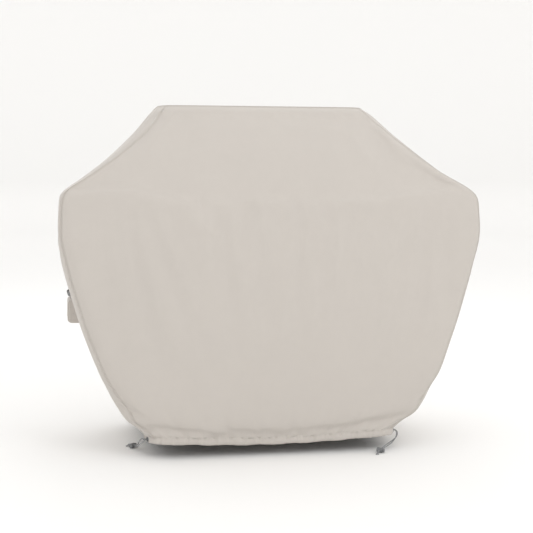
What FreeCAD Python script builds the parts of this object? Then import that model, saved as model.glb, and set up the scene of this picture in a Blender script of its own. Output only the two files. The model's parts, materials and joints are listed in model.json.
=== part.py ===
import FreeCAD, Part
import Sketcher
import math
import os

from FreeCAD import Placement, Rotation, Vector

# Grill cover for a 58 x 24 x 48 in cart grill, in millimetres.
# +Z is up, +X runs along the length and the front faces -Y. The origin is the middle of the flat
# inner face of the top panel, which rests on the grill's lid. The floor is 1215 mm below it.

doc = FreeCAD.newDocument("grill_cover")

# ---------------------------------------------------------------- driving dimensions

DIMENSIONS = {
    "fabric": 1.5,              # coated woven polyester with its folds, as modelled
    "floor_drop": 1215.0,       # from the lid rest down to the floor
    "seam_inset": 12.0,         # the panel seams run this far in from the front and back faces
    "tape_width": 16.0,         # seam tape inside the cover
    "tape_thickness": 0.6,
    "hem_depth": 11.0,          # drawcord channel, outside to inside
    "hem_wall": 1.5,
    "channel_height": 17.0,
    "cord": 3.5,                # drawcord diameter
    "cord_spacing": 4.0,        # between the two strands at an eyelet and in a lock
    "exit_bend": 4.0,           # radius where the drawcord turns out through the eyelet
    "cord_gap": 0.15,           # left where a free strand carries on from another piece
    "eyelet_turn": 20.0,        # degrees from the side towards the front, on the corner arc
    "eyelet_hole": 10.0,
    "eyelet_barrel": 12.0,
    "eyelet_flange": 19.0,
    "eyelet_plate": 0.8,
    "eyelet_height": 12.0,      # above the hem's lower edge
    "eyelet_room": 0.2,         # between the barrel and its hole in the hem
    "washer_rim": 2.0,          # how far the flange stands past the washer behind it
    "lock_width": 17.0,         # cord lock barrel diameter
    "lock_length": 19.0,
    "lock_bore": 11.4,
    "lock_slot_width": 9.2,
    "lock_slot_height": 4.6,
    "lock_slot_level": 11.6,    # of the cords' centres above the closed end
    "lock_floor": 2.0,          # thickness of the closed end
    "lock_travel": 3.0,
    "lock_back": 16.0,          # from the knot's face back to the middle of the lock
    "plunger_width": 10.6,
    "plunger_foot": 7.0,        # plunger's lower end above the closed end, released
    "plunger_head": 14.0,
    "plunger_cap": 4.0,
    "plunger_rise": 0.4,        # gap left under the cap when it is pressed home
    "plunger_play": 0.35,       # under the cords, released
    "spring_wire": 0.7,
    "spring_width": 8.0,
    "knot_length": 8.0,
    "knot_width": 8.6,
    "knot_face": 7.6,           # diameter where the strands enter
    "knot_nose": 3.0,           # diameter where the tails leave
    "knot_tail": 10.0,
    "knot_spread": 14.0,        # degrees from the line of the strands to each tail
    "tail_lift": 0.3,           # between a tail's end and the floor
    "hood_width": 150.0,
    "hood_drop": 86.5,
    "hood_stand": 24.0,         # the hood's outer face beyond its top seam
    "hood_crown": 9.0,          # height of the hood's sloping top
    "hood_back": 26.0,          # how far the wall leans in over the hood's height
    "hood_fabric": 1.6,
    "vent_level": -688.0,       # top seam of the hood
    "mesh_length": 110.0,
    "mesh_height": 46.0,
    "mesh_top": 17.0,           # below the hood's seam, along the wall
    "mesh_thickness": 0.8,
    "binding_width": 10.0,
    "binding_thickness": 1.0,
    "binding_lap": 3.0,         # how far the binding covers the mesh's edge
    "prop_length": 41.0,
    "prop_width": 25.0,
    "prop_thickness": 2.0,
    "prop_level": -763.5,
    "prop_gap": 2.2,            # from the wall to the stiff part of the tab
    "patch_thickness": 1.2,
    "patch_size": 25.0,
    "patch_drop": 11.0,         # from the tab down to the loop patch
    "handle_level": -670.5,
    "handle_width": 18.0,
    "handle_thickness": 1.8,
    "handle_span": 164.0,       # between the sewn ends
    "handle_bow": 20.0,
    "handle_end": 24.0,
    "handle_gap": 0.5,          # cut between the moving strap and its roots
    "handle_lift": 0.02,        # between the webbing and the wall
    "handle_root": 13.0,        # length at each end that stays with the wall
    "label_width": 40.0,
    "label_height": 60.0,
    "label_thickness": 0.5,
    "label_left": -330.0,       # the label's left edge
    "label_rise": 40.0,         # its lower edge above the shin
}

# The draped outline: height above or below the lid rest, half length, half depth, corner radius.
STATIONS = (
    ("crown", 1.5, 362.0, 96.0, 60.0),
    ("shoulder", -4.0, 378.0, 130.0, 62.0),
    ("brow", -21.0, 394.0, 162.0, 65.0),
    ("lid_corner", -70.0, 440.0, 208.0, 65.0),
    ("slope", -177.0, 560.0, 264.0, 55.0),
    ("slope_foot", -282.0, 704.0, 298.0, 45.0),
    ("shelf_top", -324.0, 737.5, 305.0, 35.0),
    ("shelf_base", -465.0, 737.5, 305.0, 35.0),
    ("waist", -598.0, 709.0, 302.0, 38.0),
    ("flank", -765.0, 659.0, 297.0, 44.0),
    ("knee", -932.0, 598.0, 291.0, 52.0),
    ("shin", -1075.0, 518.0, 285.0, 60.0),
    ("hem_top", -1141.0, 441.0, 278.0, 70.0),
    ("hem_base", -1165.0, 441.0, 278.0, 70.0),
)
STATION_FIELDS = ("level", "half_length", "half_depth", "corner")

sheet = doc.addObject("Spreadsheet::Sheet", "Dimensions")


def add_cell(row, alias, value):
    sheet.set(f"A{row}", alias)
    sheet.set(f"B{row}", str(value))
    sheet.setAlias(f"B{row}", alias)


row = 1
for alias, value in DIMENSIONS.items():
    add_cell(row, alias, value)
    row += 1
for station in STATIONS:
    for field, value in zip(STATION_FIELDS, station[1:]):
        add_cell(row, f"{station[0]}_{field}", value)
        row += 1
doc.recompute()


def dim(alias):
    return float(sheet.get(alias))


def station(name):
    return tuple(dim(f"{name}_{field}") for field in STATION_FIELDS)


# ---------------------------------------------------------------- helpers

SIDES = {"left": -1, "right": 1}
parts = []


def add_part(obj, label, placement=None):
    """Register a finished document object as one sub-part."""
    obj.Label = label
    if placement is not None:
        obj.Placement = placement
    parts.append(obj)
    return obj


def add_shape(label, shape, placement=None):
    obj = doc.addObject("Part::Feature", label)
    obj.Shape = shape
    return add_part(obj, label, placement)


def new_body(name):
    return doc.addObject("PartDesign::Body", name)


def base_sketch(body, name, role):
    """A sketch on one of the body's own origin planes."""
    plane = next(f for f in body.Origin.OriginFeatures if f.Role == role)
    sketch = body.newObject("Sketcher::SketchObject", name)
    sketch.AttachmentSupport = (plane, "")
    sketch.MapMode = "FlatFace"
    return sketch


def draw_circle(sketch, diameter_alias):
    index = sketch.addGeometry(Part.Circle(Vector(), Vector(0, 0, 1), dim(diameter_alias) / 2))
    sketch.addConstraint(Sketcher.Constraint("Coincident", index, 3, -1, 1))
    size = sketch.addConstraint(Sketcher.Constraint("Diameter", index, dim(diameter_alias)))
    sketch.setExpression(f"Constraints[{size}]", f"Dimensions.{diameter_alias}")


def draw_polygon(sketch, corners):
    """Closed outline; each corner is two (value, expression) pairs that fix its place."""
    count = len(corners)
    for index in range(count):
        here, there = corners[index], corners[(index + 1) % count]
        start = Vector(here[0][0], here[1][0], 0)
        end = Vector(there[0][0], there[1][0], 0)
        sketch.addGeometry(Part.LineSegment(start, end))
    for index in range(count):
        sketch.addConstraint(Sketcher.Constraint("Coincident", index, 2, (index + 1) % count, 1))
    for index, corner in enumerate(corners):
        for kind, (value, expression) in zip(("DistanceX", "DistanceY"), corner):
            fixed = sketch.addConstraint(Sketcher.Constraint(kind, -1, 1, index, 1, value))
            sketch.setExpression(f"Constraints[{fixed}]", expression)


def term(*signed_aliases):
    """A sum such as term("a", "-b") as its value and as a spreadsheet expression."""
    value = 0.0
    expression = "0"
    for alias in signed_aliases:
        sign = "-" if alias.startswith("-") else "+"
        name = alias.lstrip("-")
        value += -dim(name) if sign == "-" else dim(name)
        expression += f" {sign} Dimensions.{name}"
    return value, expression


def sheet_box(label, length, width, height, placement):
    """A flat rectangular piece, bound to three cells; its Placement is that of one corner."""
    box = doc.addObject("Part::Box", label)
    for field, alias in (("Length", length), ("Width", width), ("Height", height)):
        box.setExpression(field, f"Dimensions.{alias}")
    return add_part(box, label, placement)


def rounded_outline(level, half_length, half_depth, corner):
    """Horizontal rectangle with rounded corners, centred on the Z axis."""
    edges = []
    quarter = math.pi / 2
    for turn, (sx, sy) in enumerate(((1, 1), (-1, 1), (-1, -1), (1, -1))):
        centre = Vector(sx * (half_length - corner), sy * (half_depth - corner), level)
        ring = [
            centre + Vector(corner * math.cos(turn * quarter + step * quarter / 2),
                            corner * math.sin(turn * quarter + step * quarter / 2), 0)
            for step in range(3)
        ]
        if edges:
            edges.append(Part.LineSegment(last, ring[0]).toShape())
        else:
            first = ring[0]
        edges.append(Part.Arc(*ring).toShape())
        last = ring[2]
    edges.append(Part.LineSegment(last, first).toShape())
    return Part.Wire(edges)


def drape(inset):
    """Solid inside the cover's outer surface, moved inwards by the inset.

    Faces above the shelf look up, so they also move down; those below it look down and move up.
    """
    wires = []
    for name, *_ in STATIONS:
        level, half_length, half_depth, corner = station(name)
        if level > dim("shelf_top_level") or name == "hem_base":
            level -= inset
        elif level < dim("shelf_base_level"):
            level += inset / 2
        wires.append(rounded_outline(level, half_length - inset, half_depth - inset,
                                     corner - inset))
    return Part.makeLoft(wires, True, True)


def between(low, high, reach=2000):
    """Slab of space from one level to another."""
    return Part.makeBox(2 * reach, 2 * reach, high - low, Vector(-reach, -reach, low))


def across_y(half, reach=2000):
    """Slab of space this far to each side of the middle plane that runs along the length."""
    return Part.makeBox(2 * reach, 2 * half, 2 * reach, Vector(-reach, -half, -reach))


def half_space(axis, sign, offset=0.0, reach=2000):
    """Block on one side of a plane across X or Y."""
    low = Vector(-reach, -reach, -reach)
    if sign > 0:
        setattr(low, axis, offset)
    else:
        setattr(low, axis, offset - 2 * reach)
    return Part.makeBox(2 * reach, 2 * reach, 2 * reach, low)


# ---------------------------------------------------------------- fabric panels

def seam_space(widening):
    """Space between the front and the back seam, made wider on both sides."""
    wires = []
    width = 2000
    beyond = 50
    for name, *_ in STATIONS:
        level, _, half_depth, _ = station(name)
        inset = -dim("seam_inset") if name == "crown" else dim("seam_inset")
        reach = half_depth - inset + widening
        if name == "crown":
            wires.append(Part.makePolygon([Vector(x, y, level + beyond) for x, y in (
                (-width, -reach), (width, -reach), (width, reach), (-width, reach), (-width, -reach))]))
        bottom = level - beyond if name == "hem_base" else level
        wires.append(Part.makePolygon([Vector(x, y, bottom) for x, y in (
            (-width, -reach), (width, -reach), (width, reach), (-width, reach), (-width, -reach))]))
    return Part.makeLoft(wires, True, True)


def wall_at(level):
    """Half length of the outer surface at a level, and its lean from upright, in degrees."""
    for upper, lower in zip(STATIONS, STATIONS[1:]):
        high, wide, _, _ = station(upper[0])
        low, narrow, _, _ = station(lower[0])
        if low <= level <= high:
            share = (high - level) / (high - low)
            return wide + share * (narrow - wide), math.degrees(math.atan2(wide - narrow, high - low))
    raise ValueError(level)


def on_wall(side, level, offset=0.0):
    """Placement at the side wall: local X points out of the wall and local Z up along it."""
    half_length, lean = wall_at(level)
    turn = Rotation(Vector(0, 0, 1), 180 if side == "left" else 0)
    tilt = Rotation(Vector(0, 1, 0), lean)
    face = Placement(Vector(SIDES[side] * half_length, 0, level), turn * tilt)
    return face * Placement(Vector(offset, 0, 0), Rotation())


def panels():
    fabric = dim("fabric")
    hem_top = dim("hem_top_level")
    cloth = drape(0).cut(drape(fabric)).common(between(hem_top, 100))
    middle = seam_space(0)
    ends = cloth.cut(middle)
    add_shape("front_panel", ends.common(half_space("y", -1)))
    add_shape("back_panel", ends.common(half_space("y", 1)))
    gusset = cloth.common(middle)
    brow = dim("brow_level")
    shelf = dim("shelf_top_level")
    add_shape("top_panel", gusset.common(between(brow, 100)))
    slopes = gusset.common(between(shelf, brow))
    sides = gusset.common(between(hem_top, shelf))
    for side, sign in SIDES.items():
        add_shape(f"{side}_slope_panel", slopes.common(half_space("x", sign)))
        opening = Part.makeBox(60, dim("mesh_length"), dim("mesh_height"),
                               Vector(-30, -dim("mesh_length") / 2, -dim("mesh_height")))
        opening.Placement = on_wall(side, dim("vent_level") - dim("mesh_top"))
        add_shape(f"{side}_side_panel", sides.common(half_space("x", sign)).cut(opening))


def seam_tapes():
    """Waterproof tape stuck over each panel seam on the inside, below the lid rest."""
    inside = dim("fabric")
    layer = drape(inside).cut(drape(inside + dim("tape_thickness")))
    half = dim("tape_width") / 2
    strip = layer.common(seam_space(half)).cut(seam_space(-half))
    strip = strip.common(between(dim("hem_top_level"), dim("brow_level")))
    for name, sign in (("front", -1), ("back", 1)):
        add_shape(f"{name}_seam_tape", strip.common(half_space("y", sign)))


# ---------------------------------------------------------------- hem, drawcord and eyelets

def hem_ring(outer_inset, inner_inset, low, high):
    """Ring that follows the hem's lower outline between two insets and two levels."""
    _, half_length, half_depth, corner = station("hem_base")
    solids = []
    for inset in (outer_inset, inner_inset):
        wire = rounded_outline(low, half_length - inset, half_depth - inset, corner - inset)
        solids.append(Part.Face(wire).extrude(Vector(0, 0, high - low)))
    return solids[0].cut(solids[1])


def hem_channel():
    """Folded hem all round the mouth, sewn shut over the drawcord."""
    base, *_ = station("hem_base")
    top, *_ = station("hem_top")
    wall = dim("hem_wall")
    outside = drape(0).common(between(base, top))
    _, half_length, half_depth, corner = station("hem_base")
    depth = dim("hem_depth")
    mouth = Part.Face(rounded_outline(base - 1, half_length - depth, half_depth - depth,
                                      corner - depth)).extrude(Vector(0, 0, top - base + 2))
    level = base + dim("eyelet_height")
    half = dim("channel_height") / 2
    hollow = hem_ring(wall, depth - wall, level - half, level + half)
    return outside.cut(mouth).cut(hollow)


def eyelet_frame(side):
    """Placement at the hem's corner arc: local Z points out through the eyelet."""
    base, half_length, half_depth, corner = station("hem_base")
    turn = math.radians(dim("eyelet_turn"))
    sign = SIDES[side]
    outward = Vector(sign * math.cos(turn), -math.sin(turn), 0)
    centre = Vector(sign * (half_length - corner), -(half_depth - corner),
                    base + dim("eyelet_height"))
    return Placement(centre + outward * corner, Rotation(Vector(0, 0, 1), outward))


def hem():
    ring = hem_channel()
    for side in SIDES:
        radius = dim("eyelet_barrel") / 2 + dim("eyelet_room")
        hole = Part.makeCylinder(radius, 3 * dim("hem_wall"), Vector(0, 0, -2 * dim("hem_wall")))
        hole.Placement = eyelet_frame(side)
        ring = ring.cut(hole)
    _, _, half_depth, corner = station("hem_base")
    bend = half_depth - corner
    add_shape("front_hem", ring.common(half_space("y", -1, -bend)))
    add_shape("back_hem", ring.common(half_space("y", 1, bend)))
    flanks = ring.common(half_space("y", 1, -bend)).common(half_space("y", -1, bend))
    for side, sign in SIDES.items():
        add_shape(f"{side}_hem", flanks.common(half_space("x", sign)))


def eyelets():
    """Pressed eyelet in each front corner, with its washer behind the fabric."""
    for side in SIDES:
        name = f"{side}_eyelet"
        body = new_body(name)
        flange = base_sketch(body, f"{name}_flange_outline", "XY_Plane")
        draw_circle(flange, "eyelet_flange")
        plate = body.newObject("PartDesign::Pad", f"{name}_flange")
        plate.Profile = flange
        plate.setExpression("Length", "Dimensions.eyelet_plate")
        tube = base_sketch(body, f"{name}_barrel_outline", "XY_Plane")
        draw_circle(tube, "eyelet_barrel")
        barrel = body.newObject("PartDesign::Pad", f"{name}_barrel")
        barrel.Profile = tube
        barrel.Reversed = True
        barrel.setExpression("Length", "Dimensions.hem_wall + 2 * Dimensions.eyelet_plate")
        bore = base_sketch(body, f"{name}_bore_outline", "XY_Plane")
        draw_circle(bore, "eyelet_hole")
        hole = body.newObject("PartDesign::Pocket", f"{name}_bore")
        hole.Profile = bore
        hole.Type = "ThroughAll"
        hole.Midplane = True
        add_part(body, name, eyelet_frame(side))

        washer_name = f"{side}_eyelet_washer"
        ring = doc.addObject("Part::Cut", washer_name)
        disc = doc.addObject("Part::Cylinder", f"{washer_name}_disc")
        core = doc.addObject("Part::Cylinder", f"{washer_name}_core")
        disc.setExpression("Radius", "Dimensions.eyelet_flange / 2 - Dimensions.washer_rim")
        disc.setExpression("Height", "Dimensions.eyelet_plate")
        core.setExpression("Radius", "Dimensions.eyelet_barrel / 2")
        core.setExpression("Height", "Dimensions.eyelet_plate")
        ring.Base = disc
        ring.Tool = core
        behind = Placement(Vector(0, 0, -dim("hem_wall") - 2 * dim("eyelet_plate")), Rotation())
        add_part(ring, washer_name, eyelet_frame(side) * behind)


def tube_along(path, diameter):
    """Round tube along a wire, and a check of its volume against its length."""
    start = path.Edges[0].valueAt(path.Edges[0].FirstParameter)
    ahead = path.Edges[0].tangentAt(path.Edges[0].FirstParameter)
    ring = Part.Wire(Part.makeCircle(diameter / 2, start, ahead))
    tube = path.makePipeShell([ring], True, False)
    expected = math.pi * diameter ** 2 / 4 * path.Length
    if abs(tube.Volume / expected - 1) > 0.02:
        raise RuntimeError(f"tube volume {tube.Volume:.0f}, expected {expected:.0f}")
    return tube


def hem_corner(sign_x, sign_y):
    base, half_length, half_depth, corner = station("hem_base")
    return Vector(sign_x * (half_length - corner), sign_y * (half_depth - corner),
                  base + dim("eyelet_height"))


def corner_arc(centre, radius, start, end):
    """Arc edge about a corner centre from one angle to another, in degrees."""
    def at(angle):
        turn = math.radians(angle)
        return centre + Vector(radius * math.cos(turn), radius * math.sin(turn), 0)
    return Part.Arc(at(start), at((start + end) / 2), at(end)).toShape()


def exit_edges(side, towards):
    """Bend and short straight that lead the drawcord out through an eyelet.

    towards is +1 where the cord comes along the front and -1 where it comes along the side.
    Returns the angle at which the bend leaves the corner arc, and the two edges.
    """
    sign = SIDES[side]
    radius = dim("hem_base_corner") - dim("hem_depth") / 2
    bend = dim("exit_bend")
    offset = dim("cord_spacing") / 2
    outward = eyelet_frame(side).Rotation.multVec(Vector(0, 0, 1))
    along = Vector(-outward.y, outward.x, 0) * (-sign * towards)
    centre = hem_corner(sign, -1)
    radial = math.sqrt((radius + bend) ** 2 - (offset + bend) ** 2)
    pivot = centre + along * (offset + bend) + outward * radial
    leave = centre + (pivot - centre) * (radius / (radius + bend))
    join = pivot - along * bend
    middle = pivot + ((leave - pivot) + (join - pivot)).normalize() * bend
    reach = dim("hem_base_corner") + dim("eyelet_plate") - dim("cord_gap")
    mouth = centre + along * offset + outward * reach
    edges = [Part.Arc(leave, middle, join).toShape(), Part.LineSegment(join, mouth).toShape()]
    away = leave - centre
    return math.degrees(math.atan2(away.y, away.x)), edges


def drawcords():
    """The two cords inside the channel: one along the front, one round the sides and back."""
    radius = dim("hem_base_corner") - dim("hem_depth") / 2
    cord = dim("cord")

    left_angle, left_out = exit_edges("left", 1)
    right_angle, right_out = exit_edges("right", 1)
    left_arc = corner_arc(hem_corner(-1, -1), radius, left_angle % 360, 270)
    right_arc = corner_arc(hem_corner(1, -1), radius, -90, right_angle)
    ends = hem_corner(-1, -1) - Vector(0, radius, 0), hem_corner(1, -1) - Vector(0, radius, 0)
    front = Part.Wire(left_out[::-1] + [left_arc, Part.LineSegment(*ends).toShape(), right_arc]
                      + right_out)
    add_shape("front_drawcord", tube_along(front, cord))

    left_angle, left_out = exit_edges("left", -1)
    right_angle, right_out = exit_edges("right", -1)
    corners = [hem_corner(1, -1), hem_corner(1, 1), hem_corner(-1, 1), hem_corner(-1, -1)]
    reach = Vector(radius, 0, 0), Vector(0, radius, 0)
    rear = Part.Wire(
        right_out[::-1]
        + [
            corner_arc(corners[0], radius, right_angle, 0),
            Part.LineSegment(corners[0] + reach[0], corners[1] + reach[0]).toShape(),
            corner_arc(corners[1], radius, 0, 90),
            Part.LineSegment(corners[1] + reach[1], corners[2] + reach[1]).toShape(),
            corner_arc(corners[2], radius, 90, 180),
            Part.LineSegment(corners[2] - reach[0], corners[3] - reach[0]).toShape(),
            corner_arc(corners[3], radius, 180, left_angle % 360),
        ]
        + left_out
    )
    add_shape("rear_drawcord", tube_along(rear, cord))


# ---------------------------------------------------------------- free cord ends

# The straight end of each pair of strands: the knot's face and a point back along the line
# through the lock. Places are x, y and the height above the floor.
LOCK_LINES = {
    "left": ((-487.9, -97.5, 8.2), (-456.9, -136.7, 11.8)),
    "right": ((357.7, -307.1, 8.2), (386.0, -271.5, 11.0)),
}
# The free strands, from the eyelet's mouth to the knot. The front strand is the lower one.
STRAND_ROUTES = {
    "left_front_strand": (
        (-436.8, -234.1, 62.0), (-445.2, -237.2, 62.0), (-452.0, -234.5, 55.0),
        (-455.5, -215.0, 45.0), (-459.0, -175.0, 30.0), (-463.5, -148.0, 14.5),
        (-463.1, -128.9, 9.1), (-487.9, -97.5, 6.2)),
    "left_rear_strand": (
        (-438.2, -230.3, 62.0), (-446.6, -233.4, 62.0), (-456.0, -220.0, 61.0),
        (-459.5, -188.0, 48.0), (-463.0, -150.0, 23.5),
        (-463.1, -128.9, 13.1), (-487.9, -97.5, 10.2)),
    "right_front_strand": (
        (436.8, -234.1, 62.0), (443.9, -236.7, 62.0), (447.0, -241.0, 52.0),
        (440.0, -246.5, 36.0), (424.0, -252.5, 21.0), (408.0, -256.5, 13.0),
        (386.0, -271.5, 9.0), (357.7, -307.1, 6.2)),
    "right_rear_strand": (
        (438.2, -230.3, 62.0), (445.3, -232.9, 62.0), (451.5, -236.0, 54.0),
        (448.5, -238.5, 39.0), (430.0, -243.5, 27.0), (408.0, -252.0, 18.0),
        (386.0, -271.5, 13.0), (357.7, -307.1, 10.2)),
}


def above_floor(place):
    x, y, height = place
    return Vector(x, y, height - dim("floor_drop"))


def lock_line(side):
    """The knot's face and the unit direction in which the strands reach it."""
    end, back = (above_floor(place) for place in LOCK_LINES[side])
    return end, (end - back).normalize()


def rounded_path(points, label):
    """Straight runs joined by tangent arcs, each as large as its two runs allow."""
    edges = []
    here = points[0]
    for before, corner, after in zip(points, points[1:], points[2:]):
        back, ahead = before - corner, after - corner
        turn = math.pi - back.getAngle(ahead)
        trim = 0.45 * min(back.Length, ahead.Length)
        radius = trim / math.tan(turn / 2)
        start = corner + back.normalize() * trim
        end = corner + ahead.normalize() * trim
        bisector = (back + ahead).normalize()
        middle = corner + bisector * (math.hypot(trim, radius) - radius)
        edges.append(Part.LineSegment(here, start).toShape())
        edges.append(Part.Arc(start, middle, end).toShape())
        here = end
    edges.append(Part.LineSegment(here, points[-1]).toShape())
    path = Part.Wire(edges)
    print(label, "length", round(path.Length, 1))
    return path


def strands():
    for label, route in STRAND_ROUTES.items():
        path = rounded_path([above_floor(place) for place in route], label)
        add_shape(label, tube_along(path, dim("cord")))


def knots():
    """The knot that ties each pair of strands together, and its two short tails on the floor."""
    length, width, tail = dim("knot_length"), dim("knot_width"), dim("knot_tail")
    face, nose = dim("knot_face") / 2, dim("knot_nose") / 2
    rim = Part.Arc(Vector(0, face, 0), Vector(length * 0.45, width / 2, 0), Vector(length, nose, 0))
    half_section = Part.Face(Part.Wire([
        Part.LineSegment(Vector(), Vector(0, face, 0)).toShape(),
        rim.toShape(),
        Part.LineSegment(Vector(length, nose, 0), Vector(length, 0, 0)).toShape(),
        Part.LineSegment(Vector(length, 0, 0), Vector()).toShape(),
    ]))
    bulb = half_section.revolve(Vector(), Vector(1, 0, 0), 360)
    for side in SIDES:
        end, way = lock_line(side)
        start = end + way * dim("cord_gap")
        shape = bulb.copy()
        shape.Placement = Placement(start, Rotation(Vector(1, 0, 0), way))
        middle = start + way * length / 2
        fall = middle.z + dim("floor_drop") - dim("cord") / 2 - dim("tail_lift")
        reach = length / 2 + tail
        for spread in (-dim("knot_spread"), dim("knot_spread")):
            level_way = Vector(way.x, way.y, 0).normalize() * reach
            lie = Rotation(Vector(0, 0, 1), spread).multVec(level_way) - Vector(0, 0, fall)
            shape = shape.fuse(Part.makeCylinder(dim("cord") / 2, lie.Length, middle, lie))
        add_shape(f"{side}_cord_knot", shape)


# ---------------------------------------------------------------- cord locks

def lock_frame(side):
    """Placement of a lock: local Z is the plunger's axis, local X runs along the cords."""
    end, way = lock_line(side)
    level = end - way * dim("lock_back")
    axis = Vector(-way.y, way.x, 0).normalize() * SIDES[side]
    turn = Rotation(way, axis.cross(way), axis, "ZXY")
    return Placement(level - axis * dim("lock_slot_level"), turn)


def slot_outline(sketch, height_alias, low, low_expression):
    """Rectangle across the barrel for both cords, from its lower edge up."""
    half = dim("lock_slot_width") / 2, "Dimensions.lock_slot_width / 2"
    minus = -half[0], "-Dimensions.lock_slot_width / 2"
    bottom = low, low_expression
    top = low + height_alias[0], f"{low_expression} + {height_alias[1]}"
    draw_polygon(sketch, [(minus, bottom), (half, bottom), (half, top), (minus, top)])


def pocket_through(body, name, sketch):
    cut = body.newObject("PartDesign::Pocket", name)
    cut.Profile = sketch
    cut.Type = "ThroughAll"
    cut.Midplane = True
    return cut


def lock_bodies():
    for side in SIDES:
        name = f"{side}_lock_barrel"
        body = new_body(name)
        outline = base_sketch(body, f"{name}_outline", "XY_Plane")
        draw_circle(outline, "lock_width")
        barrel = body.newObject("PartDesign::Pad", f"{name}_pad")
        barrel.Profile = outline
        barrel.setExpression("Length", "Dimensions.lock_length")
        bore_outline = base_sketch(body, f"{name}_bore_outline", "XY_Plane")
        draw_circle(bore_outline, "lock_bore")
        bore_outline.AttachmentOffset = Placement(Vector(0, 0, dim("lock_floor")), Rotation())
        bore = body.newObject("PartDesign::Pocket", f"{name}_bore")
        bore.Profile = bore_outline
        bore.Reversed = True
        bore.setExpression("Length", "Dimensions.lock_length")
        slot = base_sketch(body, f"{name}_slot_outline", "YZ_Plane")
        low = dim("lock_slot_level") - dim("lock_slot_height") / 2
        slot_outline(slot, (dim("lock_slot_height"), "Dimensions.lock_slot_height"), low,
                     "Dimensions.lock_slot_level - Dimensions.lock_slot_height / 2")
        pocket_through(body, f"{name}_slot", slot)
        add_part(body, name, lock_frame(side))


def plungers():
    """Push button with a tall slot, so the cords stay clear of it over its whole travel."""
    for side in SIDES:
        name = f"{side}_lock_plunger"
        body = new_body(name)
        foot = Placement(Vector(0, 0, dim("plunger_foot")), Rotation())
        outline = base_sketch(body, f"{name}_stem_outline", "XY_Plane")
        draw_circle(outline, "plunger_width")
        outline.AttachmentOffset = foot
        stem = body.newObject("PartDesign::Pad", f"{name}_stem")
        stem.Profile = outline
        stem.setExpression("Length", "Dimensions.lock_length + Dimensions.lock_travel"
                                     " + Dimensions.plunger_rise - Dimensions.plunger_foot")
        cap_level = dim("lock_length") + dim("lock_travel") + dim("plunger_rise")
        cap_outline = base_sketch(body, f"{name}_cap_outline", "XY_Plane")
        draw_circle(cap_outline, "plunger_head")
        cap_outline.AttachmentOffset = Placement(Vector(0, 0, cap_level), Rotation())
        cap = body.newObject("PartDesign::Pad", f"{name}_cap")
        cap.Profile = cap_outline
        cap.setExpression("Length", "Dimensions.plunger_cap")
        slot = base_sketch(body, f"{name}_slot_outline", "YZ_Plane")
        low = dim("lock_slot_level") - dim("cord") / 2 - dim("plunger_play")
        tall = dim("cord") + dim("lock_travel") + 2 * dim("plunger_rise")
        slot_outline(slot, (tall, "Dimensions.cord + Dimensions.lock_travel"
                                  " + 2 * Dimensions.plunger_rise"), low,
                     "Dimensions.lock_slot_level - Dimensions.cord / 2 - Dimensions.plunger_play")
        pocket_through(body, f"{name}_slot", slot)
        add_part(body, name, lock_frame(side))


def springs():
    """Compression spring under each plunger, seated on the barrel's closed end."""
    wire = dim("spring_wire")
    radius = dim("spring_width") / 2 - wire / 2
    low, high = dim("lock_floor") + wire / 2, dim("plunger_foot") - wire / 2
    turns = 4
    for side in SIDES:
        pitch = (high - low) / turns
        helix = Part.makeLongHelix(pitch, high - low, radius)
        ahead = Vector(0, 2 * math.pi * radius, pitch)
        ring = Part.Wire(Part.makeCircle(wire / 2, Vector(radius, 0, 0), ahead))
        coil = Part.Wire(helix.Edges).makePipeShell([ring], True, True)
        seat = Placement(Vector(0, 0, low), Rotation())
        add_shape(f"{side}_lock_spring", coil, lock_frame(side) * seat)


# ---------------------------------------------------------------- vents and handles

def vent_hoods():
    """Stiff fabric hood over each vent, open below, hanging from its top seam."""
    for side in SIDES:
        name = f"{side}_vent_hood"
        body = new_body(name)
        outside = base_sketch(body, f"{name}_profile", "XZ_Plane")
        draw_polygon(outside, [
            (term("hood_fabric"), term()),
            (term("hood_stand"), term("-hood_crown")),
            (term("hood_stand"), term("-hood_drop")),
            (term("-hood_back", "hood_fabric"), term("-hood_drop")),
        ])
        block = body.newObject("PartDesign::Pad", f"{name}_block")
        block.Profile = outside
        block.Midplane = True
        block.setExpression("Length", "Dimensions.hood_width")
        inside = base_sketch(body, f"{name}_hollow_profile", "XZ_Plane")
        draw_polygon(inside, [
            (term(), term("-hood_fabric", "-hood_fabric")),
            (term("hood_stand", "-hood_fabric"), term("-hood_crown", "-hood_fabric")),
            (term("hood_stand", "-hood_fabric"), term("-hood_drop", "-hood_crown")),
            (term("-hood_back", "-hood_back"), term("-hood_drop", "-hood_crown")),
            (term("-hood_back", "-hood_back"), term("-hood_fabric", "-hood_fabric")),
        ])
        hollow = body.newObject("PartDesign::Pocket", f"{name}_hollow")
        hollow.Profile = inside
        hollow.Midplane = True
        hollow.setExpression("Length", "Dimensions.hood_width - 2 * Dimensions.hood_fabric")
        half_length, _ = wall_at(dim("vent_level"))
        turn = Rotation(Vector(0, 0, 1), 180 if side == "left" else 0)
        seam = Vector(SIDES[side] * half_length, 0, dim("vent_level"))
        add_part(body, name, Placement(seam, turn))


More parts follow.
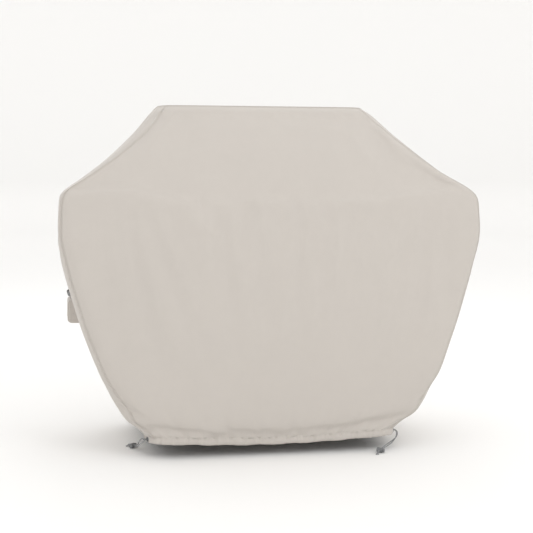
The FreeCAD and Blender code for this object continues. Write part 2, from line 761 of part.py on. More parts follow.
def vent_meshes():
    """Mesh set into each side panel's opening, and the binding sewn round it."""
    length, height = dim("mesh_length"), dim("mesh_height")
    binding, lap = dim("binding_width"), dim("binding_lap")
    for side in SIDES:
        top = on_wall(side, dim("vent_level") - dim("mesh_top"))
        inset = Placement(Vector(-dim("fabric"), -length / 2, -height), Rotation())
        sheet_box(f"{side}_vent_mesh", "mesh_thickness", "mesh_length", "mesh_height", top * inset)
        name = f"{side}_vent_binding"
        frame = doc.addObject("Part::Cut", name)
        outer = doc.addObject("Part::Box", f"{name}_outline")
        inner = doc.addObject("Part::Box", f"{name}_window")
        for box, edge in ((outer, "+ 2 * Dimensions.binding_width"),
                          (inner, "- 2 * Dimensions.binding_lap")):
            box.setExpression("Length", "Dimensions.binding_thickness")
            box.setExpression("Width", f"Dimensions.mesh_length {edge}")
            box.setExpression("Height", f"Dimensions.mesh_height {edge}")
        outer.Placement = Placement(Vector(0, -length / 2 - binding, -height - binding), Rotation())
        inner.Placement = Placement(Vector(0, lap - length / 2, lap - height), Rotation())
        frame.Base = outer
        frame.Tool = inner
        add_part(frame, name, top)


def vent_props():
    """Stiff tab that holds each hood open, with hook tape on its end and loop tape below."""
    width, thick = dim("prop_width"), dim("prop_thickness")
    for side in SIDES:
        half_length, _ = wall_at(dim("prop_level"))
        turn = Rotation(Vector(0, 0, 1), 180 if side == "left" else 0)
        seam = Vector(SIDES[side] * (half_length + dim("prop_gap")), 0, dim("prop_level"))
        root = Placement(seam, turn)
        tab = Placement(Vector(0, -width / 2, -thick / 2), Rotation())
        sheet_box(f"{side}_vent_prop", "prop_length", "prop_width", "prop_thickness", root * tab)
        tip = Vector(dim("prop_length") - dim("patch_size"), -width / 2,
                     -thick / 2 - dim("patch_thickness"))
        sheet_box(f"{side}_hook_patch", "patch_size", "patch_size", "patch_thickness",
                  root * Placement(tip, Rotation()))
        below = on_wall(side, dim("prop_level") - dim("patch_drop"))
        size = dim("patch_size")
        under = Placement(Vector(0, -size / 2, -size), Rotation())
        sheet_box(f"{side}_loop_patch", "patch_thickness", "patch_size", "patch_size",
                  below * under)


def handles():
    """Webbing pull handle above each vent: a bowed strap between two sewn ends."""
    half, bow, thick = dim("handle_span") / 2, dim("handle_bow"), dim("handle_thickness")
    width, tab, root = dim("handle_width"), dim("handle_end"), dim("handle_root")
    lift, gap = dim("handle_lift"), dim("handle_gap")
    outer = Part.Arc(Vector(thick, -half, 0), Vector(bow, 0, 0), Vector(thick, half, 0))
    inner = Part.Arc(Vector(lift, half, 0), Vector(bow - thick, 0, 0), Vector(lift, -half, 0))
    outline = Part.Wire([
        outer.toShape(),
        Part.LineSegment(Vector(thick, half, 0), Vector(lift, half, 0)).toShape(),
        inner.toShape(),
        Part.LineSegment(Vector(lift, -half, 0), Vector(thick, -half, 0)).toShape(),
    ])
    strap = Part.Face(outline).extrude(Vector(0, 0, width))
    strap.translate(Vector(0, 0, -width / 2))
    reach = half - root
    middle = between(-width, width).common(across_y(reach))
    outside = between(-width, width).common(across_y(reach + gap))
    roots = strap.cut(outside)
    for sign in (-1, 1):
        start = half if sign > 0 else -half - tab
        sewn = Part.makeBox(thick, tab, width, Vector(lift, start, -width / 2))
        roots = roots.fuse(sewn)
    roots = roots.removeSplitter()
    for side in SIDES:
        seat = on_wall(side, dim("handle_level"))
        add_shape(f"{side}_handle", strap.common(middle), seat)
        add_shape(f"{side}_handle_ends", roots, seat)


def care_label():
    """Blank label sewn inside the back panel, near the hem."""
    _, _, high_depth, _ = station("knee")
    _, _, low_depth, _ = station("shin")
    inside = min(high_depth, low_depth) - dim("fabric") - 2 * dim("label_thickness")
    corner = Vector(dim("label_left"), inside - dim("label_thickness"),
                    dim("shin_level") + dim("label_rise"))
    sheet_box("care_label", "label_width", "label_thickness", "label_height",
              Placement(corner, Rotation()))


# ---------------------------------------------------------------- build, check and write

for build in (panels, seam_tapes, hem, eyelets, drawcords, strands, knots, lock_bodies, plungers,
              springs, vent_hoods, vent_meshes, vent_props, handles, care_label):
    build()

doc.recompute()

for obj in doc.Objects:
    if "Invalid" in obj.State or "Error" in obj.State:
        raise RuntimeError(f"{obj.Label} did not recompute: {obj.State}")

os.makedirs("parts", exist_ok=True)
for part in parts:
    shape = part.Shape
    if shape.isNull() or not shape.isValid() or not shape.Solids:
        raise RuntimeError(f"{part.Label} has no valid solid")
    shape.exportStep(f"parts/{part.Label}.step")
    print(part.Label, len(shape.Solids), "solid(s)", round(shape.Volume), "mm3")
print(len(parts), "sub-parts")
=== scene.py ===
"""Fitted cover for a cart grill: draped woven polyester, vent hoods, webbing handles, drawcord hem."""
import json
import math

import bmesh
import bpy
import numpy as np
from mathutils import Matrix, Vector
from mathutils.bvhtree import BVHTree

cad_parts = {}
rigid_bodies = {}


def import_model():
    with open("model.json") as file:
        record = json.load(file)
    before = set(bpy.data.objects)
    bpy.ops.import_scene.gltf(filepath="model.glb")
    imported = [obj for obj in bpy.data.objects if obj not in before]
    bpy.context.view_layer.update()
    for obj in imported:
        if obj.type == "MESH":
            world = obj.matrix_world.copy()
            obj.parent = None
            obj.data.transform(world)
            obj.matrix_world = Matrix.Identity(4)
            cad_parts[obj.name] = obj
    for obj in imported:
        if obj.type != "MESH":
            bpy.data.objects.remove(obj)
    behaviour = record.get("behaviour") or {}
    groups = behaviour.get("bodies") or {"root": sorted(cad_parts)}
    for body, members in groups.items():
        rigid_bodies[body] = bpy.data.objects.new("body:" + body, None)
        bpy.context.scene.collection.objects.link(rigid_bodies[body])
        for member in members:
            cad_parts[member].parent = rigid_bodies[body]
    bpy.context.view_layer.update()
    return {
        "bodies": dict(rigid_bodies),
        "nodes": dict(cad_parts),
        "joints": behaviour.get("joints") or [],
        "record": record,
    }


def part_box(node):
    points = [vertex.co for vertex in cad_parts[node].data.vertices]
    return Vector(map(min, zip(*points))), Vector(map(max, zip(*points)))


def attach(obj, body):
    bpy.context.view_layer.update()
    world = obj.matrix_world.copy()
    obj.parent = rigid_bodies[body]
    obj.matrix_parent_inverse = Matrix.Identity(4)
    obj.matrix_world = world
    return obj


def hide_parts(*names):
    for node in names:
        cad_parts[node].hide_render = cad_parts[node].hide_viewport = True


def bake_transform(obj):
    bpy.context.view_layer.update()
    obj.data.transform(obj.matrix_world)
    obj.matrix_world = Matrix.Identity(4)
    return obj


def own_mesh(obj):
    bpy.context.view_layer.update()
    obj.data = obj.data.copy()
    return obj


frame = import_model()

FLOOR = -1.215
SIDES = {"left": -1, "right": 1}

# The draped outline: level, half length, half depth, corner radius and sideways lean, in metres.
OUTLINE = np.array([
    (-0.004, 0.376, 0.130, 0.062, -0.010),
    (-0.021, 0.393, 0.162, 0.065, -0.010),
    (-0.070, 0.440, 0.208, 0.065, -0.010),
    (-0.177, 0.560, 0.264, 0.055, -0.009),
    (-0.282, 0.701, 0.298, 0.045, -0.006),
    (-0.324, 0.737, 0.305, 0.036, 0.000),
    (-0.465, 0.737, 0.305, 0.035, 0.000),
    (-0.598, 0.709, 0.302, 0.038, 0.000),
    (-0.765, 0.659, 0.297, 0.044, 0.000),
    (-0.932, 0.598, 0.291, 0.052, 0.006),
    (-1.075, 0.515, 0.285, 0.060, 0.006),
    (-1.141, 0.443, 0.279, 0.069, 0.000),
])
HEM_TOP, HEM_BASE = -1.141, -1.165
HEM_LENGTH, HEM_DEPTH, HEM_CORNER = 0.441, 0.278, 0.070
SEAM_INSET = 0.012
WALL = ((-0.598, 0.709), (-0.765, 0.659))    # level and half length above and below the vents
CLOTH = 0.0012


# ---------------------------------------------------------------- camera, light and floor

def studio():
    camera = bpy.data.objects.new("camera", bpy.data.cameras.new("camera"))
    bpy.context.scene.collection.objects.link(camera)
    camera.location = (-0.737, -3.490, -0.2924)
    camera.rotation_euler = (math.radians(90), 0, math.radians(-8.4))
    camera.data.sensor_width = 36
    camera.data.lens = 36 * 957 / 533
    camera.data.shift_x = 0.1248
    camera.data.shift_y = -0.1492
    camera.data.clip_end = 100
    bpy.context.scene.camera = camera

    scene = bpy.context.scene
    scene.view_settings.view_transform = "Standard"
    world = bpy.data.worlds.new("studio")
    world.use_nodes = True
    world.node_tree.nodes["Background"].inputs["Color"].default_value = (1.0, 0.995, 0.988, 1)
    world.node_tree.nodes["Background"].inputs["Strength"].default_value = 1.06
    scene.world = world

    for name, place, size, power in (
        ("key", (2.0, -3.5, 2.4), 2.0, 38),
        ("fill", (-3.0, -2.6, 1.2), 3.0, 7),
        ("back", (0.4, 3.2, 2.6), 2.6, 20),
    ):
        light = bpy.data.objects.new(name, bpy.data.lights.new(name, "AREA"))
        light.data.energy = power
        light.data.size = size
        light.location = place
        aim = Vector((0, 0, -0.6)) - Vector(place)
        light.rotation_euler = aim.to_track_quat("-Z", "Y").to_euler()
        scene.collection.objects.link(light)

    ring, rings = 64, [(0.0, 0.0), (4.0, 0.0), (9.0, 0.0), (10.5, 0.25), (11.4, 1.0), (11.8, 4.0)]
    mesh = bmesh.new()
    loops = []
    for radius, rise in rings[1:]:
        loops.append([mesh.verts.new((radius * math.cos(2 * math.pi * k / ring),
                                      radius * math.sin(2 * math.pi * k / ring), FLOOR + rise))
                      for k in range(ring)])
    mesh.faces.new(loops[0])
    for low, high in zip(loops, loops[1:]):
        for k in range(ring):
            mesh.faces.new((low[k], high[k], high[(k + 1) % ring], low[(k + 1) % ring]))
    floor = link("studio_floor", mesh, smooth=True)
    surface = principled("floor", (0.93, 0.925, 0.915), roughness=0.9)
    floor.data.materials.append(surface)


# ---------------------------------------------------------------- mesh helpers

def link(name, mesh, smooth=True):
    """A new object from a bmesh or a (points, faces) pair."""
    data = bpy.data.meshes.new(name)
    if isinstance(mesh, bmesh.types.BMesh):
        mesh.to_mesh(data)
        mesh.free()
    else:
        points, faces = mesh
        data.from_pydata([tuple(p) for p in points], [], [tuple(f) for f in faces])
    if smooth:
        data.shade_smooth()
    obj = bpy.data.objects.new(name, data)
    bpy.context.scene.collection.objects.link(obj)
    return obj


def flatten(obj):
    """Apply every modifier, so the mesh is the one that shows."""
    graph = bpy.context.evaluated_depsgraph_get()
    data = bpy.data.meshes.new_from_object(obj.evaluated_get(graph), preserve_all_data_layers=True,
                                           depsgraph=graph)
    obj.modifiers.clear()
    obj.data = data
    return obj


def weld(obj, distance=1e-6):
    """Merge doubled points and turn every face outwards."""
    mesh = bmesh.new()
    mesh.from_mesh(obj.data)
    bmesh.ops.remove_doubles(mesh, verts=mesh.verts, dist=distance)
    bmesh.ops.recalc_face_normals(mesh, faces=mesh.faces)
    mesh.to_mesh(obj.data)
    mesh.free()
    return obj


def cut(obj, tool):
    """Take a tool's shape out of a piece, and drop the tool."""
    weld(tool)
    modify(obj, "BOOLEAN", operation="DIFFERENCE", object=tool, solver="EXACT")
    flatten(obj)
    bpy.data.objects.remove(tool)
    return obj


def modify(obj, kind, **settings):
    modifier = obj.modifiers.new(kind.lower(), kind)
    for name, value in settings.items():
        setattr(modifier, name, value)
    return modifier


def finish_piece(obj, body, material, replaces=()):
    obj.data.materials.clear()
    for entry in material if isinstance(material, (list, tuple)) else [material]:
        obj.data.materials.append(entry)
    if replaces:
        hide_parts(*replaces)
    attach(obj, body)
    return obj


def tube_mesh(path, radius, sides=10, closed=False, flat=1.0, caps=True):
    """Points and faces of a tube along a path; flat squashes it along its second axis."""
    path = np.asarray(path, float)
    ahead = np.roll(path, -1, 0) - np.roll(path, 1, 0)
    if not closed:
        ahead[0], ahead[-1] = path[1] - path[0], path[-1] - path[-2]
    ahead /= np.linalg.norm(ahead, axis=1)[:, None]
    side = np.cross(ahead[0], (0, 0, 1.0))
    if np.linalg.norm(side) < 0.1:
        side = np.cross(ahead[0], (0, 1.0, 0))
    points = []
    for place, way in zip(path, ahead):
        side = side - way * side.dot(way)
        side /= np.linalg.norm(side)
        up = np.cross(way, side)
        turn = 2 * np.pi * np.arange(sides) / sides
        points.append(place + radius * (np.cos(turn)[:, None] * side
                                        + flat * np.sin(turn)[:, None] * up))
    rows = len(path)
    faces = []
    for row in range(rows if closed else rows - 1):
        there = (row + 1) % rows
        for k in range(sides):
            j = (k + 1) % sides
            faces.append((row * sides + k, row * sides + j, there * sides + j, there * sides + k))
    points = list(np.concatenate(points))
    if not closed and caps:
        faces.append(tuple(range(sides))[::-1])
        faces.append(tuple((rows - 1) * sides + k for k in range(sides)))
    return points, faces


def lathe(profile, frame=None, sides=32, closed=False, ripple=None):
    """Points and faces turned about local Z from (radius, height) pairs.

    A closed profile makes a ring; otherwise its ends close on the axis. The ripple, a function of
    the angle and the profile's index, changes each radius.
    """
    frame = frame or Matrix()
    points, faces = [], []
    for index, (radius, height) in enumerate(profile):
        for k in range(sides):
            turn = 2 * math.pi * k / sides
            reach = radius + (ripple(turn, index) if ripple else 0)
            points.append(frame @ Vector((reach * math.cos(turn), reach * math.sin(turn), height)))
    rows = len(profile)
    for r in range(rows if closed else rows - 1):
        for k in range(sides):
            j, n = (k + 1) % sides, (r + 1) % rows
            faces.append((r * sides + k, r * sides + j, n * sides + j, n * sides + k))
    return points, faces


def join_meshes(parts):
    """One (points, faces) pair from several."""
    points, faces = [], []
    for more, loops in parts:
        start = len(points)
        points += list(more)
        faces += [tuple(start + k for k in loop) for loop in loops]
    return points, faces


# ---------------------------------------------------------------- frames shared with the CAD

LOCK_LINES = {
    "left": ((-0.4879, -0.0975, 0.0082), (-0.4569, -0.1367, 0.0118)),
    "right": ((0.3577, -0.3071, 0.0082), (0.3860, -0.2715, 0.0110)),
}
STRAND_ROUTES = {
    "left_front_strand": (
        (-0.4368, -0.2341, 0.0620), (-0.4452, -0.2372, 0.0620), (-0.4520, -0.2345, 0.0550),
        (-0.4555, -0.2150, 0.0450), (-0.4590, -0.1750, 0.0300), (-0.4635, -0.1480, 0.0145),
        (-0.4631, -0.1289, 0.0091), (-0.4879, -0.0975, 0.0062)),
    "left_rear_strand": (
        (-0.4382, -0.2303, 0.0620), (-0.4466, -0.2334, 0.0620), (-0.4560, -0.2200, 0.0610),
        (-0.4595, -0.1880, 0.0480), (-0.4630, -0.1500, 0.0235), (-0.4631, -0.1289, 0.0131),
        (-0.4879, -0.0975, 0.0102)),
    "right_front_strand": (
        (0.4368, -0.2341, 0.0620), (0.4439, -0.2367, 0.0620), (0.4470, -0.2410, 0.0520),
        (0.4400, -0.2465, 0.0360), (0.4240, -0.2525, 0.0210), (0.4080, -0.2565, 0.0130),
        (0.3860, -0.2715, 0.0090), (0.3577, -0.3071, 0.0062)),
    "right_rear_strand": (
        (0.4382, -0.2303, 0.0620), (0.4453, -0.2329, 0.0620), (0.4515, -0.2360, 0.0540),
        (0.4485, -0.2385, 0.0390), (0.4300, -0.2435, 0.0270), (0.4080, -0.2520, 0.0180),
        (0.3860, -0.2715, 0.0130), (0.3577, -0.3071, 0.0102)),
}
CORD = 0.0035
EYELET_TURN = math.radians(20)
EYELET_HEIGHT = 0.012
LOCK_BACK, LOCK_SLOT_LEVEL = 0.016, 0.0116
MESH_TOP, HANDLE_LEVEL = -0.705, -0.6705
VENT_LENGTH, VENT_HEIGHT = 0.110, 0.046


def columns_matrix(x, y, z, place):
    matrix = Matrix((x, y, z)).transposed().to_4x4()
    matrix.translation = place
    return matrix


def wall_place(level):
    """Half length of the side wall beside a vent."""
    (high, wide), (low, narrow) = WALL
    return wide + (high - level) / (high - low) * (narrow - wide)


def wall_frame(side, level):
    """Side wall at a level: local X points out of the wall and local Z up along it."""
    (high, wide), (low, narrow) = WALL
    lean = math.atan2(wide - narrow, high - low)
    turn = Matrix.Rotation(math.pi if side == "left" else 0, 4, "Z")
    place = Matrix.Translation((SIDES[side] * wall_place(level), 0, level))
    return place @ turn @ Matrix.Rotation(lean, 4, "Y")


def eyelet_frame(side):
    """Eyelet on the hem's corner: local Z points out through it."""
    sign = SIDES[side]
    outward = Vector((sign * math.cos(EYELET_TURN), -math.sin(EYELET_TURN), 0))
    centre = Vector((sign * (HEM_LENGTH - HEM_CORNER), -(HEM_DEPTH - HEM_CORNER),
                     HEM_BASE + EYELET_HEIGHT))
    up = Vector((0, 0, 1))
    return columns_matrix(outward.cross(up), up, outward, centre + outward * HEM_CORNER)


def lock_line(side):
    """The knot's face and the unit direction in which the strands reach it."""
    end, back = (Vector((x, y, height + FLOOR)) for x, y, height in LOCK_LINES[side])
    return end, (end - back).normalized()


def lock_frame(side):
    """Cord lock: local Z is the plunger's axis and local X runs along the cords."""
    end, way = lock_line(side)
    axis = Vector((-way.y, way.x, 0)).normalized() * SIDES[side]
    return columns_matrix(way, axis.cross(way), axis, end - way * LOCK_BACK - axis * LOCK_SLOT_LEVEL)


def run_of(path):
    """How far along a path each of its points is."""
    return np.concatenate([[0], np.cumsum(np.linalg.norm(np.diff(path, axis=0), axis=1))])


def grid_faces(rows, columns, wrap=False):
    """Faces of a grid of points, row by row; wrap joins its last column to its first."""
    return [(r * columns + c, (r + 1) * columns + c, (r + 1) * columns + (c + 1) % columns,
             r * columns + (c + 1) % columns)
            for r in range(rows - 1) for c in range(columns if wrap else columns - 1)]


def moved(points, frame):
    return [frame @ Vector(p) for p in points]


# ---------------------------------------------------------------- materials

def node(tree, kind, **settings):
    made = tree.nodes.new(kind)
    for name, value in settings.items():
        if name in made.inputs:
            made.inputs[name].default_value = value
        else:
            setattr(made, name, value)
    return made


def principled(name, color, roughness=0.6, **sockets):
    material = bpy.data.materials.new(name)
    material.use_nodes = True
    shader = material.node_tree.nodes["Principled BSDF"]
    shader.inputs["Base Color"].default_value = (*color, 1)
    shader.inputs["Roughness"].default_value = roughness
    for socket, value in sockets.items():
        shader.inputs[socket.replace("_", " ")].default_value = value
    return material


def math_node(tree, operation, a, b=0.0):
    made = node(tree, "ShaderNodeMath", operation=operation)
    for socket, value in zip(made.inputs, (a, b)):
        if isinstance(value, bpy.types.NodeSocket):
            tree.links.new(value, socket)
        else:
            socket.default_value = value
    return made.outputs[0]


def tint(tree, factor, dark, light):
    """Colour between two, by a factor socket."""
    mix = node(tree, "ShaderNodeMix", data_type="RGBA")
    tree.links.new(factor, mix.inputs[0])
    mix.inputs[6].default_value = (*dark, 1)
    mix.inputs[7].default_value = (*light, 1)
    return mix.outputs[2]


def noise(tree, vector, scale, detail=2.0, roughness=0.5):
    made = node(tree, "ShaderNodeTexNoise", Scale=scale, Detail=detail, Roughness=roughness)
    tree.links.new(vector, made.inputs["Vector"])
    return made.outputs["Fac"]


def bump(tree, height, shader, strength, distance):
    made = node(tree, "ShaderNodeBump", Strength=strength, Distance=distance)
    tree.links.new(height, made.inputs["Height"])
    tree.links.new(made.outputs["Normal"], shader.inputs["Normal"])


def woven(name, color, pitch, depth=0.35, spread=0.06, roughness=0.86, sheen=0.25, rib=1.0):
    """Plain-weave cloth: threads from the UV map in metres, blotches and slubs from noise."""
    material = principled(name, color, roughness, Sheen_Weight=sheen, Sheen_Roughness=0.45)
    tree = material.node_tree
    shader = tree.nodes["Principled BSDF"]
    place = node(tree, "ShaderNodeTexCoord")
    split = node(tree, "ShaderNodeSeparateXYZ")
    tree.links.new(place.outputs["UV"], split.inputs[0])
    wave = 2 * math.pi / pitch
    warp = math_node(tree, "SINE", math_node(tree, "MULTIPLY", split.outputs[0], wave))
    weft = math_node(tree, "SINE", math_node(tree, "MULTIPLY", split.outputs[1], wave * rib))
    weave = math_node(tree, "MULTIPLY", warp, weft)
    height = math_node(tree, "MULTIPLY_ADD", weave, 0.5)
    slub = noise(tree, place.outputs["UV"], 900, 2)
    blotch = noise(tree, place.outputs["Object"], 3.2, 4, 0.6)
    fine = noise(tree, place.outputs["Object"], 38, 3)
    level = math_node(tree, "ADD", math_node(tree, "MULTIPLY", blotch, 0.55),
                      math_node(tree, "ADD", math_node(tree, "MULTIPLY", slub, 0.2),
                                math_node(tree, "MULTIPLY", fine, 0.25)))
    level = math_node(tree, "ADD", level, math_node(tree, "MULTIPLY", weave, 0.08))
    tree.links.new(tint(tree, level, *shades(color, spread)), shader.inputs["Base Color"])
    bump(tree, math_node(tree, "ADD", height, slub), shader, depth, pitch * 0.4)
    return material


def shades(color, spread):
    """A darker and a lighter version of a colour."""
    return (tuple(c * (1 - spread) for c in color),
            tuple(min(1, c * (1 + spread)) for c in color))


def plain(name, color, roughness=0.5, scale=60, depth=0.1, spread=0.08, **sockets):
    """Moulded or metal surface with fine mottling and a light grain."""
    material = principled(name, color, roughness, **sockets)
    tree = material.node_tree
    shader = tree.nodes["Principled BSDF"]
    place = node(tree, "ShaderNodeTexCoord")
    grain = noise(tree, place.outputs["Object"], scale, 4, 0.6)
    tree.links.new(tint(tree, grain, *shades(color, spread)), shader.inputs["Base Color"])
    bump(tree, noise(tree, place.outputs["Object"], scale * 14, 2), shader, depth, 0.0003)
    return material


def braided(name, color, pitch=0.0016):
    """Braided cord: two crossing sets of ridges, from the piece's own coordinates."""
    material = principled(name, color, 0.75, Sheen_Weight=0.2)
    tree = material.node_tree
    shader = tree.nodes["Principled BSDF"]
    place = node(tree, "ShaderNodeTexCoord")
    flecks = noise(tree, place.outputs["Object"], 1.4 / pitch, 2)
    split = node(tree, "ShaderNodeSeparateXYZ")
    tree.links.new(place.outputs["Object"], split.inputs[0])
    total = math_node(tree, "ADD", split.outputs[0], split.outputs[1])
    other = math_node(tree, "SUBTRACT", split.outputs[0], split.outputs[2])
    one = math_node(tree, "SINE", math_node(tree, "MULTIPLY", total, 2 * math.pi / pitch))
    two = math_node(tree, "SINE", math_node(tree, "MULTIPLY", other, 2 * math.pi / pitch))
    braid = math_node(tree, "MULTIPLY", one, two)
    level = math_node(tree, "MULTIPLY_ADD", braid, 0.25)
    tree.nodes[-1].inputs[2].default_value = 0.5
    dark = tuple(c * 0.6 for c in color)
    light = tuple(min(1, c * 1.35) for c in color)
    mixed = math_node(tree, "ADD", math_node(tree, "MULTIPLY", flecks, 0.5),
                      math_node(tree, "MULTIPLY", level, 0.5))
    tree.links.new(tint(tree, mixed, dark, light), shader.inputs["Base Color"])
    bump(tree, braid, shader, 0.5, 0.0004)
    return material


GREIGE = (0.545, 0.507, 0.468)
fabric = woven("woven_polyester", GREIGE, 0.0011)
hem_cloth = woven("woven_polyester_hem", tuple(c * 0.98 for c in GREIGE), 0.0011, spread=0.07)
coating = plain("inner_coating", (0.56, 0.545, 0.52), 0.42, scale=9, depth=0.06, spread=0.05)
tape_film = plain("seam_tape_film", (0.62, 0.60, 0.57), 0.3, scale=30, depth=0.05)
dark_thread = plain("dark_thread", (0.09, 0.09, 0.095), 0.65, scale=300, depth=0.3)
thread = plain("sewing_thread", (0.58, 0.54, 0.49), 0.7, scale=300, depth=0.3)
webbing = woven("webbing", (0.175, 0.176, 0.178), 0.0022, depth=0.8, spread=0.35, rib=0.5)
napped = plain("hook_and_loop", (0.05, 0.05, 0.055), 0.95, scale=900, depth=1.0, spread=0.4)
mesh_thread = plain("mesh_thread", (0.07, 0.07, 0.072), 0.6, scale=200)
stiff_board = plain("stiffener_board", (0.07, 0.07, 0.075), 0.55, scale=120)
cord_braid = braided("cord_braid", (0.27, 0.274, 0.283))
lock_plastic = plain("lock_plastic", (0.19, 0.194, 0.20), 0.42, scale=160, depth=0.15)
eyelet_metal = plain("eyelet_metal", (0.25, 0.25, 0.26), 0.32, scale=250, Metallic=1.0)
spring_steel = plain("spring_steel", (0.6, 0.6, 0.62), 0.25, scale=250, Metallic=1.0)
label_cloth = woven("label_satin", (0.78, 0.77, 0.74), 0.0006, depth=0.15, spread=0.03)


# ---------------------------------------------------------------- the draped shell

def smooth_rows(values, width):
    """Gaussian smoothing down the rows that keeps the first and the last."""
    reach = int(3 * width)
    window = np.exp(-0.5 * (np.arange(-reach, reach + 1) / width) ** 2)
    window /= window.sum()
    first, last = values[:1], values[-1:]
    padded = np.concatenate([2 * first - values[reach:0:-1], values,
                             2 * last - values[-2:-reach - 2:-1]])
    return np.stack([np.convolve(padded[:, k], window, "valid") for k in range(values.shape[1])], 1)


def meridian(step):
    """The outline's rows at an even spacing down the cloth, with soft edges."""
    run = np.abs(np.diff(OUTLINE[:, :3], axis=0))
    length = np.concatenate([[0], np.cumsum(np.hypot(run[:, 0], (run[:, 1] + run[:, 2]) / 2))])
    fine = np.linspace(0, length[-1], int(length[-1] / 0.002))
    dense = np.stack([np.interp(fine, length, OUTLINE[:, k]) for k in range(5)], 1)
    dense = smooth_rows(dense, 9)
    pick = np.linspace(0, len(dense) - 1, round(length[-1] / step) + 1).round().astype(int)
    return dense[pick]


def arc(centre, radius, start, end, count=12):
    turn = np.radians(np.linspace(start, end, count))
    return np.stack([centre[0] + radius * np.cos(turn), centre[1] + radius * np.sin(turn)], 1)


def resample(path, count):
    """count + 1 points evenly spaced along a path."""
    along = run_of(path)
    at = np.linspace(0, along[-1], count + 1)
    return np.stack([np.interp(at, along, path[:, k]) for k in range(path.shape[1])], 1)


def ring_points(half_length, half_depth, corner, face_count, end_count):
    """One level's outline, from the front left seam round by the right, as columns."""
    across = half_length - corner
    deep = half_depth - corner
    seam = math.degrees(math.asin((corner - SEAM_INSET) / corner))
    front = np.concatenate([arc((-across, -deep), corner, 180 + seam, 270),
                            arc((across, -deep), corner, 270, 360 - seam)])
    right = np.concatenate([arc((across, -deep), corner, 360 - seam, 360),
                            arc((across, deep), corner, 0, seam)])
    face = resample(front, face_count)[:-1]
    end = resample(right, end_count)[:-1]
    return np.concatenate([face, end, -face, -end])


FOLDS = (
    # x and z of the start, x and z of the end, which face, height and width of the ridge
    ((0.372, -0.030), (0.560, -0.290), "front", 0.0085, 0.020),
    ((0.400, -0.060), (0.690, -0.300), "front", 0.0060, 0.026),
    ((0.300, -0.090), (0.420, -0.330), "front", 0.0040, 0.030),
    ((-0.390, -0.060), (-0.585, -0.235), "front", -0.0050, 0.020),
    ((-0.360, -0.050), (-0.480, -0.300), "front", 0.0045, 0.026),
    ((-0.700, -0.420), (-0.330, -1.080), "front", 0.0060, 0.045),
    ((-0.715, -0.520), (-0.520, -1.000), "front", -0.0050, 0.030),
    ((0.705, -0.430), (0.380, -1.060), "front", 0.0065, 0.045),
    ((0.715, -0.560), (0.500, -1.020), "front", -0.0050, 0.030),
    ((-0.260, -1.125), (-0.140, -1.085), "front", 0.0045, 0.016),
    ((-0.100, -0.520), (-0.210, -1.120), "front", 0.0035, 0.050),
    ((0.180, -0.560), (0.240, -1.120), "front", 0.0035, 0.055),
    ((0.700, -0.430), (0.300, -1.080), "back", 0.0065, 0.045),
    ((-0.690, -0.450), (-0.360, -1.060), "back", 0.0060, 0.040),
    ((0.380, -0.050), (0.560, -0.290), "back", 0.0065, 0.024),
    ((-0.380, -0.050), (-0.600, -0.290), "back", 0.0065, 0.024),
    ((0.060, -0.600), (0.120, -1.130), "back", 0.0040, 0.050),
)


def fold_height(points):
    """How far the listed folds push each point outwards."""
    height = np.zeros(len(points))
    flat = points[:, [0, 2]]
    for start, end, face, rise, width in FOLDS:
        start, end = np.array(start), np.array(end)
        along = end - start
        share = np.clip((flat - start) @ along / (along @ along), 0, 1)
        bow = 0.04 * np.linalg.norm(along) * np.sin(share * np.pi)
        across = np.array((-along[1], along[0])) / np.linalg.norm(along)
        away = np.linalg.norm(flat - start - share[:, None] * along + bow[:, None] * across, axis=1)
        on_face = points[:, 1] < 0.02 if face == "front" else points[:, 1] > -0.02
        taper = np.sin(np.clip(share * 1.25 + 0.12, 0, 1) * np.pi) ** 0.7
        height += on_face * rise * taper * np.exp(-(away / width) ** 2)
    return height


def gathers(angle_length, level):
    """Drawcord gathers: ripples round the skirt that fade out above the hem."""
    ripple = np.zeros_like(level)
    for wave, share, phase in ((0.031, 0.35, 0.4), (0.047, 0.5, 2.1), (0.083, 0.6, 4.0),
                               (0.171, 0.55, 1.1)):
        ripple += share * np.sin(2 * np.pi * angle_length / wave + phase
                                 + 1.3 * np.sin(angle_length * 5.1 + phase))
    near = np.clip((level - HEM_TOP) / 0.17, 0, 1)
    return ripple * 0.0026 * (1 - near) ** 1.6


ROW_STEP = 0.016
FACE_COUNT, END_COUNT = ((90, 36))
COLUMNS = 2 * (FACE_COUNT + END_COUNT)
SEAMS = {"front_left": 0, "front_right": FACE_COUNT, "back_right": FACE_COUNT + END_COUNT,
         "back_left": 2 * FACE_COUNT + END_COUNT}


def shell_grid():
    """Rows of points, from the shoulder of the lid down to the hem."""
    rows = meridian(ROW_STEP)
    grid = np.zeros((len(rows), COLUMNS, 3))
    for index, (level, half_length, half_depth, corner, lean) in enumerate(rows):
        ring = ring_points(half_length, half_depth, corner, FACE_COUNT, END_COUNT)
        grid[index, :, :2] = ring + (lean, 0)
        grid[index, :, 2] = level
    return grid


def outward_of(grid):
    """Unit outward direction at each grid point."""
    down = np.gradient(grid, axis=0)
    around = (np.roll(grid, -1, 1) - np.roll(grid, 1, 1)) / 2
    away = np.cross(down, around)
    away /= np.linalg.norm(away, axis=2)[..., None]
    middle = away * grid
    return away * np.where(middle[..., :2].sum(2) < 0, -1, 1)[..., None]


def crown_rings(outline):
    """Rings that close the flat top, from the first row in to a line along the middle."""
    count = 7
    rings = []
    for step in range(1, count + 1):
        share = step / count
        ring = outline.copy()
        lean = OUTLINE[0, 4]
        ring[:, 1] *= 1 - share
        ring[:, 0] = (ring[:, 0] - lean) * (1 - 0.34 * share) + lean
        ring[:, 2] = -0.004 + 0.0055 * min(1, math.sin(min(1, share * 1.6) * math.pi / 2))
        rings.append(ring)
    return rings


